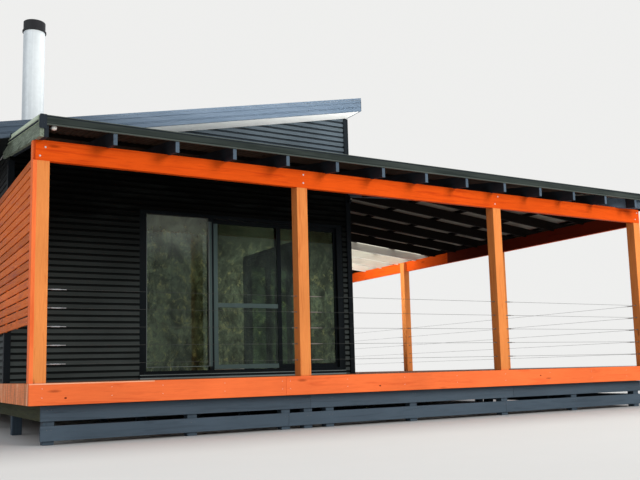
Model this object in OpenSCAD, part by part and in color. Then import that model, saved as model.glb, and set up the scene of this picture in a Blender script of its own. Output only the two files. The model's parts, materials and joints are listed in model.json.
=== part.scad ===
// Beach house: a skillion-roofed house in corrugated cladding, with a timber deck
// and a roofed verandah that wraps round its front and its right side.
// All sizes are in millimetres. X runs along the front to the right, Y runs to the back, Z up.

/* [Deck] */
// Height of the deck's walking surface above the ground
deck_z = 655; // [560:5:700]
// Length of the deck along the front, over its fascia boards
deck_l = 9860; // [9750:10:9950]
// Depth of the deck and house from front fascia to rear fascia
deck_d = 10040; // [9900:10:10200]
// Height of the stained fascia board round the deck
fascia_h = 230; // [200:2:240]
// Thickness of the fascia boards
fascia_t = 40; // [30:1:45]
// Thickness of the deck and floor boards
floor_t = 32; // [19:1:35]

/* [Sub-floor] */
// Side of the square stumps
stump_w = 120; // [100:5:140]
// Depth of the bearers that lie on the stumps
bearer_h = 140; // [120:5:150]
// Depth of the joists that lie on the bearers
joist_h = 140; // [120:5:150]
// Distance between joists
joist_step = 450; // [400:10:600]
// How far the base boards stand back from the fascia
base_inset = 150; // [140:5:150]
// Thickness of the base boards
base_t = 30; // [20:1:30]
// Height of the upper base board
base_upper_h = 164; // [150:1:165]
// Height of the lower base board
base_lower_h = 160; // [140:1:165]
// Gap between the ground and the lower base board
base_foot = 43; // [5:1:60]

/* [Posts and beams] */
// Side of the square verandah posts
post_w = 152; // [140:1:160]
// Distance from the fascia's face to the posts' faces
post_inset = 25; // [20:1:30]
// Underside of the front beam above the deck
beam_z = 2400; // [2350:5:2450]
// Underside of the side beam above the deck
side_beam_z = 2366; // [2340:1:2380]
// Depth of the beams
beam_h = 230; // [210:1:235]
// Thickness of the beams
beam_t = 70; // [65:1:80]
// Left face of the second front post
post_2_x = 3232; // [3100:1:3400]
// Left face of the third front post
post_3_x = 6550; // [6400:1:6700]
// Front face of the first post along the side
side_post_1_y = 3300; // [3200:1:3400]
// Front face of the second post along the side
side_post_2_y = 6580; // [6400:1:6700]

/* [Verandah roof] */
// Pitch of the front roof, which rises to the back
front_pitch = 8.5; // [8:0.1:9]
// Pitch of the side roof, which rises to the left
side_pitch = 5.95; // [5.7:0.05:6.2]
// Top of the front sheets at their outer edge, above the deck
edge_z = 2800; // [2780:5:2820]
// Top of the side sheets at their outer edge, above the deck
side_edge_z = 2757; // [2745:1:2775]
// How far the front sheets reach in front of the deck's fascia
front_eave = 262; // [240:1:300]
// How far the side sheets reach beyond the deck's fascia
side_eave = 250; // [240:1:300]
// How far the rear edge reaches beyond the deck's fascia
rear_eave = 60; // [40:5:100]
// Thickness taken for the roof sheets
sheet_t = 20; // [16:1:22]
// Depth of the battens under the sheets
batten_h = 40; // [35:1:45]
// Width of the battens
batten_w = 75; // [60:1:90]
// Distance between the side roof's battens
batten_step = 1040; // [900:10:1100]
// Centre of the first full batten of the side roof
side_batten_x = 9110; // [9000:10:9200]
// Thickness of the rafters
rafter_t = 45; // [40:1:50]
// Depth of the front rafters
rafter_depth = 160; // [155:1:175]
// Depth of the side rafters
side_rafter_depth = 165; // [135:1:170]
// Distance between front rafters
rafter_step = 716; // [700:1:740]
// Centre of the first full front rafter
first_rafter_x = 815; // [700:1:820]
// Distance between side rafters
side_rafter_step = 720; // [700:5:740]
// Centre of the first side rafter
first_side_rafter_y = 450; // [400:1:500]
// Height of the flashing along the outer roof edges
edge_h = 110; // [100:1:120]
// Thickness of the edge flashing
edge_t = 20; // [10:1:20]
// Where the clear sheets of the side roof begin
clear_y = 6100; // [5800:10:6150]
// Where they end
clear_end = 8370; // [8200:10:8500]

/* [Slatted screen] */
// Underside of the screen above the deck
screen_low = 625; // [600:5:650]
// Number of slats
slat_count = 18; // [12:1:20]
// Distance between slats
slat_step = 101; // [95:1:102]
// Height of a slat
slat_h = 84; // [80:1:92]
// Thickness of a slat, and of the battens behind it
slat_t = 20; // [15:1:20]
// Rear end of the screen
screen_end = 3050; // [2600:10:3200]
// Front edge of the board that ends the screen on the post
end_board_y = 60; // [40:5:80]
// Width of that board
end_board_w = 80; // [70:1:100]
// Width of the battens behind the slats
screen_batten_w = 45; // [35:1:50]

/* [Balustrade] */
// Number of wires
wire_count = 5; // [3:1:6]
// Distance between wires
wire_step = 201; // [150:1:205]
// Diameter of a wire
wire_d = 4; // [3:0.5:5]

/* [House] */
// Distance from the deck's front fascia to the front wall
wall_y = 1850; // [1800:5:1900]
// Left face of the house
house_l = 41; // [41:1:60]
// Right face of the house
house_r = 5170; // [5150:5:5200]
// Thickness of the walls
wall_t = 150; // [120:5:160]
// Distance from the floor's rear edge to the rear wall's face
wall_inset = 20; // [15:1:25]
// Width of the corner trims
trim_w = 60; // [50:1:70]
// Thickness of the corner trims
trim_t = 20; // [15:1:20]

/* [Main roof] */
// Pitch of the main roof, which rises to the right
main_pitch = 11.85; // [11.5:0.05:12.1]
// Top of the main roof at the front wall's left end, above the deck
main_low_z = 3255; // [3240:1:3300]
// Front overhang of the main roof
main_front_eave = 400; // [380:5:420]
// Left overhang of the main roof
main_left_eave = 441; // [400:1:480]
// Right overhang of the main roof
main_right_eave = 40; // [35:1:60]
// Thickness taken for the main roof's sheets
main_t = 30; // [25:1:35]
// Depth of the main fascia with the roof edge
main_fascia_h = 215; // [205:1:220]
// Thickness of the main fascia
main_fascia_t = 25; // [20:1:30]
// Thickness of the soffit lining
soffit_t = 12; // [6:1:15]

/* [Front glazing] */
// Left side of the glazed opening
glazing_x = 1750; // [1700:1:1760]
// Right side of the glazed opening
glazing_end = 5029; // [5010:1:5040]
// Head of the openings above the deck
head_z = 2340; // [2320:5:2360]
// Height of the sill board under the frame
sill_h = 60; // [50:1:70]
// Width of the outer frame members
jamb_w = 100; // [80:1:106]
// Width of the mullion and of the leaves' stiles
stile_w = 64; // [50:1:66]
// Centre of the mullion between window and sliding door
mullion_x = 2810; // [2780:1:2830]
// Thickness of a sliding leaf
leaf_t = 35; // [30:1:36]
// Height of the leaf's middle rail above the deck
mid_rail_z = 1000; // [900:5:1100]
// Thickness of the glass
glass_t = 6; // [4:1:10]
// Clearance round the sliding leaf
leaf_gap = 7; // [5:1:8]

/* [Side glazing] */
// Front side of the glazed opening in the right wall
side_glazing_y = 2900; // [2850:10:3000]
// Rear side of that opening
side_glazing_end = 5600; // [5500:10:5700]
// Front side of the high window
high_y = 7100; // [7000:10:7200]
// Rear side of the high window
high_end = 8300; // [8200:10:8350]
// Sill of the high window above the deck
high_sill = 3400; // [3380:5:3420]
// Head of the high window above the deck
high_head = 3900; // [3880:5:3920]

/* [Flue] */
// Diameter of the flue's casing
flue_d = 290; // [250:5:300]
// Centre of the flue along the front
flue_x = 425; // [350:5:450]
// Centre of the flue from the deck's front
flue_y = 2500; // [2400:10:2600]
// Top of the casing above the deck
flue_top = 4880; // [4800:10:5100]
// Thickness of the flue's insulated wall
flue_wall = 45; // [30:5:60]
// Height of the cowl
cowl_h = 150; // [120:5:180]

/* [Lamps] */
// Centre of the round lamp along the front
lamp_x = 168; // [160:1:180]
// Underside of the round lamp above the deck
lamp_z = 2683; // [2670:1:2700]
// Diameter of the round lamp
lamp_d = 64; // [50:1:80]

/* [Hidden] */
$fn = 48;

// Heights above the ground
joist_z = deck_z - floor_t - joist_h;
bearer_z = joist_z - bearer_h;
front_beam_z = deck_z + beam_z;
front_beam_top = front_beam_z + beam_h;
end_beam_z = deck_z + side_beam_z;
end_beam_top = end_beam_z + beam_h;
roof_z = deck_z + edge_z;
side_roof_z = deck_z + side_edge_z;
edge_top = roof_z + 20;
head = deck_z + head_z;
sill = deck_z + sill_h;

// Plan of the deck, house and roofs
post_y = post_inset;
post_r = deck_l - post_inset;
post_4_x = post_r - post_w;
beam_back = post_y + beam_t;
end_beam_x = post_r - beam_t;
roof_front = -front_eave;
roof_right = deck_l + side_eave;
roof_rear = deck_d + rear_eave;
roof_l = 12;
barge_set = 20;
flashing_rise = 12;
house_rear = deck_d - fascia_t - wall_inset;
rear_post_y = deck_d - post_inset - post_w;
front_slope = tan(front_pitch);
side_slope = tan(side_pitch);
main_slope = tan(main_pitch);
hip_start = roof_right - (edge_z - side_edge_z) / side_slope;
hip_t = 60;
// Depth of the rafters' tops below the sheets' top
framing = sheet_t + batten_h;
// Gap under a sloping face, and between boards that meet end to end
seat = 0.1;
butt = 1;

// Main roof
main_l = house_l - main_left_eave;
main_r = house_r + main_right_eave;
main_f = wall_y - main_front_eave;
main_b = house_rear + main_front_eave;

// Leaves of the sliding door
door_l = mullion_x + stile_w / 2;
door_r = glazing_end - jamb_w;
frame_y = wall_y + 10;
frame_d = 100;
leaf_y = frame_y + 8;
fixed_y = leaf_y + leaf_t + leaf_gap;
leaf_l = door_l + 5;
leaf_r = 3939;
fixed_l = leaf_r - stile_w - 10;
leaf_low = sill + jamb_w / 2 + leaf_gap;
leaf_high = head - jamb_w / 2 - leaf_gap;

// Centre of the whole outline, which the origin lies under
outline_l = main_l;
outline_r = roof_right + edge_t;
outline_f = roof_front - edge_t;
outline_b = main_b;
centre_x = (outline_l + outline_r) / 2;
centre_y = (outline_f + outline_b) / 2;

corner_stump = base_inset + base_t + stump_w / 2;
stump_xs = [corner_stump, 1860, 3410, 5060, 6720, 8170, deck_l - corner_stump];
stump_ys = [corner_stump, 2150, 4060, 5975, 7890, deck_d - corner_stump];
joint_stump_xs = [3090, 3730];
bearer_l = base_inset + base_t;
bearer_t = 90;
base_gap = 10;

// Puts a piece drawn from the deck's front left corner into the part's frame
module at_house() translate([-centre_x, -centre_y, 0]) children();

// Box between two corners
module block(low, high) translate(low) cube(high - low);

// Height of the front roof's top at a place in plan
function front_top(y) = roof_z + (y - roof_front) * front_slope;
// Height of the side roof's top at a place in plan
function side_top(x) = side_roof_z + (roof_right - x) * side_slope;
// Height of the main roof's top at a place in plan
function main_top(x) = deck_z + main_low_z + (x - house_l) * main_slope;
// Place of the hip along the front for a distance from the front
function hip_x(y) = hip_start - (y - roof_front) * front_slope / side_slope;
// Place of the hip towards the back for a distance along the front
function hip_y(x) = roof_front + (hip_start - x) * side_slope / front_slope;

// Slab that follows the front roof, from a depth below its top to another
module front_slab(upper, lower)
    translate([-1000, roof_front, roof_z])
        rotate([front_pitch, 0, 0])
            translate([0, -500, -lower * cos(front_pitch)])
                cube([12000, 4500, (lower - upper) * cos(front_pitch)]);

// Slab that follows the side roof, from a depth below its top to another
module side_slab(upper, lower)
    translate([roof_right, -1000, side_roof_z])
        rotate([0, side_pitch, 0])
            translate([-6000, 0, -lower * cos(side_pitch)])
                cube([6500, 12000, (lower - upper) * cos(side_pitch)]);

// Slab that follows the main roof, from a depth below its top to another
module main_slab(upper, lower)
    translate([house_l, 0, deck_z + main_low_z])
        rotate([0, -main_pitch, 0])
            translate([-1500, 0, -lower * cos(main_pitch)])
                cube([8500, 11000, (lower - upper) * cos(main_pitch)]);

// Upright prism on a plan outline
module upright(points) linear_extrude(8000) polygon(points);

// Outline of the front roof on plan, up to the hip and the walls
front_plan = [
    [roof_l, roof_front], [hip_start, roof_front], [house_r, hip_y(house_r)], [house_r, wall_y],
    [roof_l, wall_y]];

// Outline of the side roof on plan, from the hip to where the clear sheets begin
side_plan = [[hip_start, roof_front], [roof_right, roof_front], [roof_right, clear_y], [house_r, clear_y],
    [house_r, hip_y(house_r)]];

// Boards on plan along the left, right and rear sides of a rectangle
module side_boards(low, high, t) {
    for (x = [low[0], high[0] - t]) translate([x, low[1]]) square([t, high[1] - low[1]]);
    translate([low[0] + t + butt, high[1] - t]) square([high[0] - low[0] - 2 * t - 2 * butt, t]);
}

// Space under the verandah's roof that the main eave is cut round
module verandah_space() translate([roof_l - edge_t - 10, 0, 0]) intersection() {
    front_slab(-25, 3000);
    block([0, 0, 0], [2000, wall_y, 6000]);
}

// Sub-floor
module stumps() color("#5a5148") at_house() {
    for (x = stump_xs, y = stump_ys)
        block([x - stump_w / 2, y - stump_w / 2, 0], [x + stump_w / 2, y + stump_w / 2, bearer_z]);
    for (x = joint_stump_xs)
        block([x - stump_w / 2, stump_ys[0] - stump_w / 2, 0],
            [x + stump_w / 2, stump_ys[0] + stump_w / 2, bearer_z]);
}

module bearers() color("#6b5a48") at_house() for (y = stump_ys)
    block([bearer_l, y - bearer_t / 2, bearer_z], [deck_l - bearer_l, y + bearer_t / 2, joist_z]);

module joists() color("#6b5a48") at_house() {
    last = floor((deck_l - 2 * bearer_l - rafter_t) / joist_step);
    for (i = [0:last]) translate([bearer_l + i * joist_step, fascia_t, joist_z])
        cube([rafter_t, deck_d - 2 * fascia_t, joist_h]);
}

// Deck, in one layer round the house's floor
module deck_floor() color("#8a4b30") at_house()
    translate([0, 0, deck_z - floor_t]) linear_extrude(floor_t)
        polygon([[fascia_t, fascia_t], [deck_l - fascia_t, fascia_t],
            [deck_l - fascia_t, deck_d - fascia_t], [house_r, deck_d - fascia_t],
            [house_r, wall_y], [fascia_t, wall_y]]);

module house_floor() color("#a98b68") at_house()
    block([fascia_t, wall_y, deck_z - floor_t], [house_r, deck_d - fascia_t, deck_z]);

module deck_fascia_front() color("#e07a4c") at_house()
    block([0, 0, deck_z - fascia_h], [deck_l, fascia_t, deck_z]);

module deck_fascia_sides() color("#e07a4c") at_house()
    translate([0, 0, deck_z - fascia_h]) linear_extrude(fascia_h)
        side_boards([0, fascia_t], [deck_l, deck_d], fascia_t);

// Base boards, in two rows with a gap between them, but with the upper row alone on the left
module lower_row() translate([0, 0, base_foot]) linear_extrude(base_lower_h) children();

module upper_row() translate([0, 0, deck_z - fascia_h - base_gap - base_upper_h])
    linear_extrude(base_upper_h) children();

module base_front_plan() translate([base_inset, base_inset]) square([deck_l - 2 * base_inset, base_t]);

module base_side_plan()
    side_boards([base_inset, base_inset + base_t], [deck_l - base_inset, deck_d - base_inset], base_t);

module base_boards_front() color("#46505a") at_house() {
    lower_row() base_front_plan();
    upper_row() base_front_plan();
}

module base_boards_sides() color("#46505a") at_house() {
    lower_row() difference() {
        base_side_plan();
        square([base_inset + base_t, deck_d]);
    }
    upper_row() base_side_plan();
}

// Posts, cut back at the top where a beam passes their outer face
module post(x, y, top) block([x, y, deck_z], [x + post_w, y + post_w, top]);

module corner_post_left() color("#e8905c") at_house() difference() {
    post(post_inset, post_y, front_beam_top);
    block([0, post_y - 1, front_beam_z], [deck_l, beam_back, front_beam_top + 1]);
}

module front_posts() color("#e8905c") at_house() difference() {
    for (x = [post_2_x, post_3_x]) post(x, post_y, front_beam_top);
    block([0, post_y - 1, front_beam_z], [deck_l, beam_back, front_beam_top + 1]);
}

module corner_post_right() color("#e8905c") at_house() difference() {
    post(post_4_x, post_y, end_beam_top);
    block([0, post_y - 1, front_beam_z], [deck_l, beam_back, front_beam_top + 1]);
    block([end_beam_x, beam_back, end_beam_z], [deck_l, deck_d, end_beam_top + 1]);
}

module side_posts() color("#e8905c") at_house() difference() {
    for (y = [side_post_1_y, side_post_2_y, rear_post_y]) post(post_4_x, y, end_beam_top);
    block([end_beam_x, beam_back, end_beam_z], [deck_l, deck_d, end_beam_top + 1]);
    side_slab(-1000, framing + side_rafter_depth + seat);
}

// Beams
module front_beam() color("#dd6a35") at_house()
    block([post_inset, post_y, front_beam_z], [post_r, beam_back, front_beam_top]);

module side_beam() color("#dd6a35") at_house()
    block([end_beam_x, beam_back, end_beam_z], [post_r, deck_d - post_inset, end_beam_top]);

// Room that the hip rafter takes, with an allowance on each side
module hip_space(extra, upper, lower) intersection() {
    half = (hip_t / 2 + extra) / cos(atan(side_slope / front_slope));
    upright([[hip_x(roof_front), roof_front - half], [house_r, hip_y(house_r) - half],
        [house_r, hip_y(house_r) + half], [hip_x(roof_front), roof_front + half]]);
    hip_under(upper, lower);
}

// What lies under both roofs' tops between two depths
module hip_under(upper, lower) intersection() {
    front_slab(upper, lower + 400);
    side_slab(upper, lower);
}

// Room that the beams and the front posts' heads take under the rafters
module beam_space() {
    block([post_inset - 1, post_y - 1, front_beam_z], [post_r + 1, post_y + post_w + 1, front_beam_top]);
    block([end_beam_x - 1, beam_back, end_beam_z], [post_r + 1, deck_d, end_beam_top]);
}

module hip_rafter() color("#4f5a63") at_house() difference() {
    hip_space(0, framing + seat, framing + rafter_depth);
    beam_space();
    block([roof_right - 60, roof_front - 1000, 0], [roof_right + 600, 9000, 8000]);
    block([0, roof_front - 1000, 0], [roof_right + 600, roof_front, 8000]);
}

// Front rafters, with tails that show in front of the beam
module front_rafters() color("#4c5966") at_house() difference() {
    intersection() {
        front_slab(framing + seat, framing + rafter_depth);
        union() {
            front_rafter_prism(roof_l + 1.5 * rafter_t + 2 * butt);
            for (i = [0:12]) front_rafter_prism(first_rafter_x + i * rafter_step);
        }
    }
    beam_space();
    hip_space(0, -50, 700);
}

module front_rafter_prism(x) {
    back = x + rafter_t < house_r ? wall_y : hip_y(x);
    block([x - rafter_t / 2, roof_front, 2000], [x + rafter_t / 2, back, 8000]);
}

// Side rafters, from the wall or the hip out over the side beam
module side_rafters() color("#3f3a36") at_house() difference() {
    intersection() {
        side_slab(framing + seat, framing + side_rafter_depth);
        union() for (i = [0:13]) side_rafter_prism(first_side_rafter_y + i * side_rafter_step);
    }
    beam_space();
    hip_space(0, -50, 700);
}

module side_rafter_prism(y) {
    left = y < hip_y(house_r) ? hip_x(y) : house_r;
    block([left, y - rafter_t / 2, 2000], [roof_right, y + rafter_t / 2, 8000]);
}

// Battens across the rafters of both roofs
module roof_battens() color("#5b5048") at_house() {
    intersection() {
        front_slab(sheet_t + seat, framing);
        union() for (i = [0:2]) {
            y = roof_front + barge_set + i * (wall_y - roof_front - batten_w - 2 * barge_set) / 2;
            block([roof_l, y, 2000], [hip_x(y) - 120, y + batten_w, 8000]);
        }
    }
    intersection() {
        side_slab(sheet_t + seat, framing);
        union() for (x = concat([roof_right - barge_set - batten_w], [for (i = [0:3])
                side_batten_x - batten_w / 2 - i * batten_step]))
            block([x, max(hip_y(x) + 120, roof_front + barge_set), 2000], [x + batten_w, roof_rear, 8000]);
    }
}

// Roof sheets
module front_roof_sheet() color("#6f7a80") at_house() intersection() {
    front_slab(0, sheet_t);
    upright(front_plan);
}

module side_roof_sheet() color("#6f7a80") at_house() intersection() {
    side_slab(0, sheet_t);
    union() {
        upright(side_plan);
        block([house_r, clear_end, 0], [roof_right, roof_rear, 8000]);
    }
}

module clear_roof_sheet() color("#dfe8ea") at_house() intersection() {
    side_slab(0, sheet_t);
    block([house_r, clear_y, 0], [roof_right, clear_end, 8000]);
}

// Flashing along the front and right edges, and over the left and rear edges
module roof_edges() color("#56625f") at_house() {
    block([roof_l - edge_t, roof_front - edge_t, edge_top - edge_h],
        [roof_right + edge_t, roof_front, edge_top]);
    block([roof_right, roof_front + butt, edge_top - edge_h - roof_z + side_roof_z],
        [roof_right + edge_t, roof_rear, edge_top]);
    intersection() {
        front_slab(-flashing_rise, edge_h - flashing_rise);
        block([roof_l - edge_t, roof_front + butt, 2000], [roof_l, wall_y, 8000]);
    }
    intersection() {
        side_slab(-flashing_rise, edge_h - flashing_rise);
        block([house_r, roof_rear + butt, 2000], [roof_right + edge_t, roof_rear + edge_t, 8000]);
    }
}

// Barge boards under the left and rear edges
module barge_boards() color("#5d6a66") at_house() {
    difference() {
        intersection() {
            front_slab(framing + seat, framing + rafter_depth);
            block([roof_l + seat, roof_front, 2000], [roof_l + rafter_t, wall_y, 8000]);
        }
        beam_space();
    }
    intersection() {
        side_slab(framing + seat, framing + side_rafter_depth);
        block([house_r, roof_rear - barge_set - rafter_t, 2000],
            [roof_right, roof_rear - barge_set, 8000]);
    }
}

// Slatted screen at the left end, with an end board on the post and battens behind the slats
module slat_screen() color("#d8824c") at_house() {
    slat_y = end_board_y + end_board_w + seat;
    slat_z = deck_z + screen_low;
    screen_top = slat_z + (slat_count - 1) * slat_step + slat_h;
    block([0, end_board_y, deck_z], [post_inset - seat, end_board_y + end_board_w, front_beam_top - 5 * butt]);
    for (i = [0:slat_count - 1])
        block([0, slat_y, slat_z + i * slat_step], [slat_t, screen_end, slat_z + i * slat_step + slat_h]);
    for (y = [post_y + post_w + butt, 960, wall_y - 2 * trim_w, screen_end - trim_w])
        block([slat_t + seat, y, slat_z], [2 * slat_t, y + screen_batten_w, screen_top]);
}

// Balustrade wires, from post to post
module balustrade_wires() color("#c8ccd0") at_house() {
    front_ends = [[post_inset + post_w, post_2_x], [post_2_x + post_w, post_3_x],
        [post_3_x + post_w, post_4_x]];
    side_ends = [[post_y + post_w, side_post_1_y], [side_post_1_y + post_w, side_post_2_y],
        [side_post_2_y + post_w, rear_post_y]];
    for (i = [1:wire_count]) {
        for (e = front_ends) translate([e[0], post_y + post_w / 2, deck_z + i * wire_step])
            rotate([0, 90, 0]) cylinder(d = wire_d, h = e[1] - e[0]);
        for (e = side_ends) translate([post_4_x + post_w / 2, e[0], deck_z + i * wire_step])
            rotate([-90, 0, 0]) cylinder(d = wire_d, h = e[1] - e[0]);
    }
}

// Walls, which stop under the main roof
module wall_box(low, high) difference() {
    block([low[0], low[1], low[2]], [high[0], high[1], 6000]);
    main_slab(-3000, main_t + seat);
}

module front_wall_left() color("#33363a") at_house()
    wall_box([house_l, wall_y, deck_z], [glazing_x, wall_y + wall_t]);

module front_wall_head() color("#33363a") at_house()
    wall_box([glazing_x, wall_y, head], [glazing_end, wall_y + wall_t]);

module front_wall_right() color("#33363a") at_house()
    wall_box([glazing_end, wall_y, deck_z], [house_r, wall_y + wall_t]);

module left_wall() color("#33363a") at_house()
    wall_box([house_l, wall_y + wall_t, deck_z], [house_l + wall_t, house_rear - wall_t]);

module rear_wall() color("#33363a") at_house()
    wall_box([house_l, house_rear - wall_t, deck_z], [house_r, house_rear]);

module right_wall() color("#33363a") at_house() difference() {
    wall_box([house_r - wall_t, wall_y + wall_t, deck_z], [house_r, house_rear - wall_t]);
    block([house_r - wall_t - 1, side_glazing_y, deck_z - 1], [house_r + 1, side_glazing_end, head]);
    block([house_r - wall_t - 1, high_y, deck_z + high_sill], [house_r + 1, high_end, deck_z + high_head]);
}

// Trims over the corners of the cladding, below and above the verandah's roof
module corner_trims() color("#3a3e44") at_house() {
    eave_z = main_top(house_r - trim_w) - main_fascia_h - 5;
    trim_pair(house_r, wall_y, 1, 1, deck_z, front_beam_z + 440);
    trim_pair(house_r, wall_y, 1, 1, front_top(wall_y + trim_w) + 15, eave_z);
    trim_pair(house_l, wall_y, -1, 1, deck_z, front_beam_z + 440);
    trim_pair(house_l, house_rear, -1, -1, deck_z, 3660);
    trim_pair(house_r, house_rear, 1, -1, deck_z, front_beam_z + 440);
    trim_pair(house_r, house_rear, 1, -1, side_top(house_r) + 15, eave_z);
}

// One corner trim: sx and sy point from the house's inside to its outside and to its middle
module trim_pair(x, y, sx, sy, low, high) translate([x, y, low]) linear_extrude(high - low) {
    scale_x = sx > 0 ? 0 : 1;
    mirror([scale_x, 0]) mirror([0, sy > 0 ? 0 : 1]) difference() {
        translate([-trim_w, -trim_t]) square([trim_w + trim_t, trim_w + trim_t]);
        translate([-trim_w - 1, 0]) square([trim_w + 1, trim_w + 1]);
    }
}

// Main roof
module main_roof() color("#66788c") at_house() intersection() {
    main_slab(0, main_t);
    block([main_l, main_f, 0], [main_r, main_b, 8000]);
}

module main_fascia() color("#5f7288") at_house() difference() {
    intersection() {
        main_slab(main_t + seat, main_fascia_h);
        linear_extrude(8000) {
            side_boards([main_l, main_f + main_fascia_t + butt], [main_r, main_b], main_fascia_t);
            translate([main_l, main_f]) square([main_r - main_l, main_fascia_t]);
        }
    }
    verandah_space();
}

module main_soffit() color("#eceeec") at_house() difference() {
    intersection() {
        main_slab(main_fascia_h - soffit_t, main_fascia_h);
        block([main_l + main_fascia_t, main_f + main_fascia_t, 0],
            [main_r - main_fascia_t, main_b - main_fascia_t, 8000]);
    }
    block([house_l, wall_y, 0], [house_r, house_rear, 8000]);
    verandah_space();
}

// Frame of the window and of the sliding door, which stand in one opening
module front_glazing_frame() color("#3c4046") at_house() {
    pane_low = sill + jamb_w / 2;
    pane_high = head - jamb_w / 2;
    difference() {
        block([glazing_x, frame_y, sill], [glazing_end, frame_y + frame_d, head]);
        block([glazing_x + jamb_w, frame_y - 1, pane_low],
            [mullion_x - stile_w / 2, frame_y + frame_d + 1, pane_high]);
        block([door_l, frame_y - 1, pane_low], [door_r, frame_y + frame_d + 1, pane_high]);
    }
    difference() {
        block([fixed_l, fixed_y, pane_low], [door_r, fixed_y + leaf_t, pane_high]);
        block([fixed_l + stile_w, fixed_y - 1, pane_low + stile_w],
            [door_r - stile_w / 2, fixed_y + leaf_t + 1, pane_high - stile_w]);
    }
    block([glazing_x, wall_y - 15, deck_z], [glazing_end, wall_y + wall_t, sill]);
}

module front_fixed_glass() color([0.5, 0.6, 0.65, 0.4]) at_house() {
    block([glazing_x + jamb_w, frame_y + 40, sill + jamb_w / 2],
        [mullion_x - stile_w / 2, frame_y + 40 + glass_t, head - jamb_w / 2]);
    glass_y = fixed_y + (leaf_t - glass_t) / 2;
    block([fixed_l + stile_w, glass_y, sill + jamb_w / 2 + stile_w],
        [door_r - stile_w / 2, glass_y + glass_t, head - jamb_w / 2 - stile_w]);
}

// Sliding leaf with a middle rail
module sliding_leaf() color("#3c4046") at_house() difference() {
    block([leaf_l, leaf_y, leaf_low], [leaf_r, leaf_y + leaf_t, leaf_high]);
    leaf_panes(1);
}

module leaf_panes(extra) for (z = [[leaf_low + stile_w, deck_z + mid_rail_z],
        [deck_z + mid_rail_z + stile_w, leaf_high - stile_w]])
    block([leaf_l + stile_w, leaf_y - extra, z[0]],
        [leaf_r - stile_w, leaf_y + leaf_t + extra, z[1]]);

module sliding_glass() color([0.5, 0.6, 0.65, 0.4]) at_house() intersection() {
    leaf_panes(0);
    translate([0, leaf_y + (leaf_t - glass_t) / 2, 0]) cube([deck_l, glass_t, 8000]);
}

// Frames in the right wall: three tall panes, and a high window over the verandah roof
module side_glazing_frame() color("#3c4046") at_house() {
    frame_x = house_r - frame_d - 10;
    pane = (side_glazing_end - side_glazing_y - 2 * jamb_w) / 3;
    difference() {
        block([frame_x, side_glazing_y, deck_z], [frame_x + frame_d, side_glazing_end, head]);
        for (i = [0:2])
            block([frame_x - 1, side_glazing_y + jamb_w + i * pane + stile_w / 2, sill + jamb_w / 2],
                [frame_x + frame_d + 1, side_glazing_y + jamb_w + (i + 1) * pane - stile_w / 2,
                    head - jamb_w / 2]);
    }
    difference() {
        block([frame_x, high_y, deck_z + high_sill], [frame_x + frame_d, high_end, deck_z + high_head]);
        block([frame_x - 1, high_y + stile_w, deck_z + high_sill + stile_w],
            [frame_x + frame_d + 1, high_end - stile_w, deck_z + high_head - stile_w]);
    }
}

module side_glazing_glass() color([0.5, 0.6, 0.65, 0.4]) at_house() {
    glass_x = house_r - 60;
    pane = (side_glazing_end - side_glazing_y - 2 * jamb_w) / 3;
    for (i = [0:2])
        block([glass_x, side_glazing_y + jamb_w + i * pane + stile_w / 2, sill + jamb_w / 2],
            [glass_x + glass_t, side_glazing_y + jamb_w + (i + 1) * pane - stile_w / 2, head - jamb_w / 2]);
    block([glass_x, high_y + stile_w, deck_z + high_sill + stile_w],
        [glass_x + glass_t, high_end - stile_w, deck_z + high_head - stile_w]);
}

// Flue on the main roof
module flue_pipe() color("#d5dde6") at_house() difference() {
    translate([flue_x, flue_y, 0]) cylinder(d = flue_d, h = deck_z + flue_top);
    main_slab(0, 5000);
    translate([flue_x, flue_y, 0]) cylinder(d = flue_d - 2 * flue_wall, h = deck_z + flue_top + 1);
}

module flue_cowl() color("#2f3236") at_house() translate([flue_x, flue_y, deck_z + flue_top]) {
    cylinder(d = flue_d + 30, h = 25);
    cylinder(d = flue_d + 4, h = cowl_h);
}

// Round lamp under the roof edge and a small lamp at the house's corner
module verandah_lights() color("#f2f2ee") at_house() {
    difference() {
        translate([lamp_x, roof_front + 60, deck_z + lamp_z]) cylinder(d = lamp_d, h = 120);
        front_slab(-100, framing + seat);
    }
    block([house_r - 30, wall_y - 70, deck_z + 2710], [house_r + trim_t, wall_y - trim_t, deck_z + 2790]);
}

stumps();
bearers();
joists();
deck_floor();
deck_fascia_front();
deck_fascia_sides();
base_boards_front();
base_boards_sides();
corner_post_left();
front_posts();
corner_post_right();
side_posts();
front_beam();
side_beam();
hip_rafter();
front_rafters();
side_rafters();
roof_battens();
front_roof_sheet();
side_roof_sheet();
clear_roof_sheet();
roof_edges();
barge_boards();
slat_screen();
balustrade_wires();
house_floor();
front_wall_left();
front_wall_head();
front_wall_right();
left_wall();
rear_wall();
right_wall();
corner_trims();
main_roof();
main_fascia();
main_soffit();
front_glazing_frame();
front_fixed_glass();
sliding_leaf();
sliding_glass();
side_glazing_frame();
side_glazing_glass();
flue_pipe();
flue_cowl();
verandah_lights();
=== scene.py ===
"""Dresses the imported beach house: boards, corrugated sheets, flashings, glazing and finishes."""

import json
import logging
import math
import random
from dataclasses import dataclass, replace
from enum import Enum
from functools import cache
from typing import Callable, Iterable, Sequence

import bmesh
import bpy
from mathutils import Matrix, Vector

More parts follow.
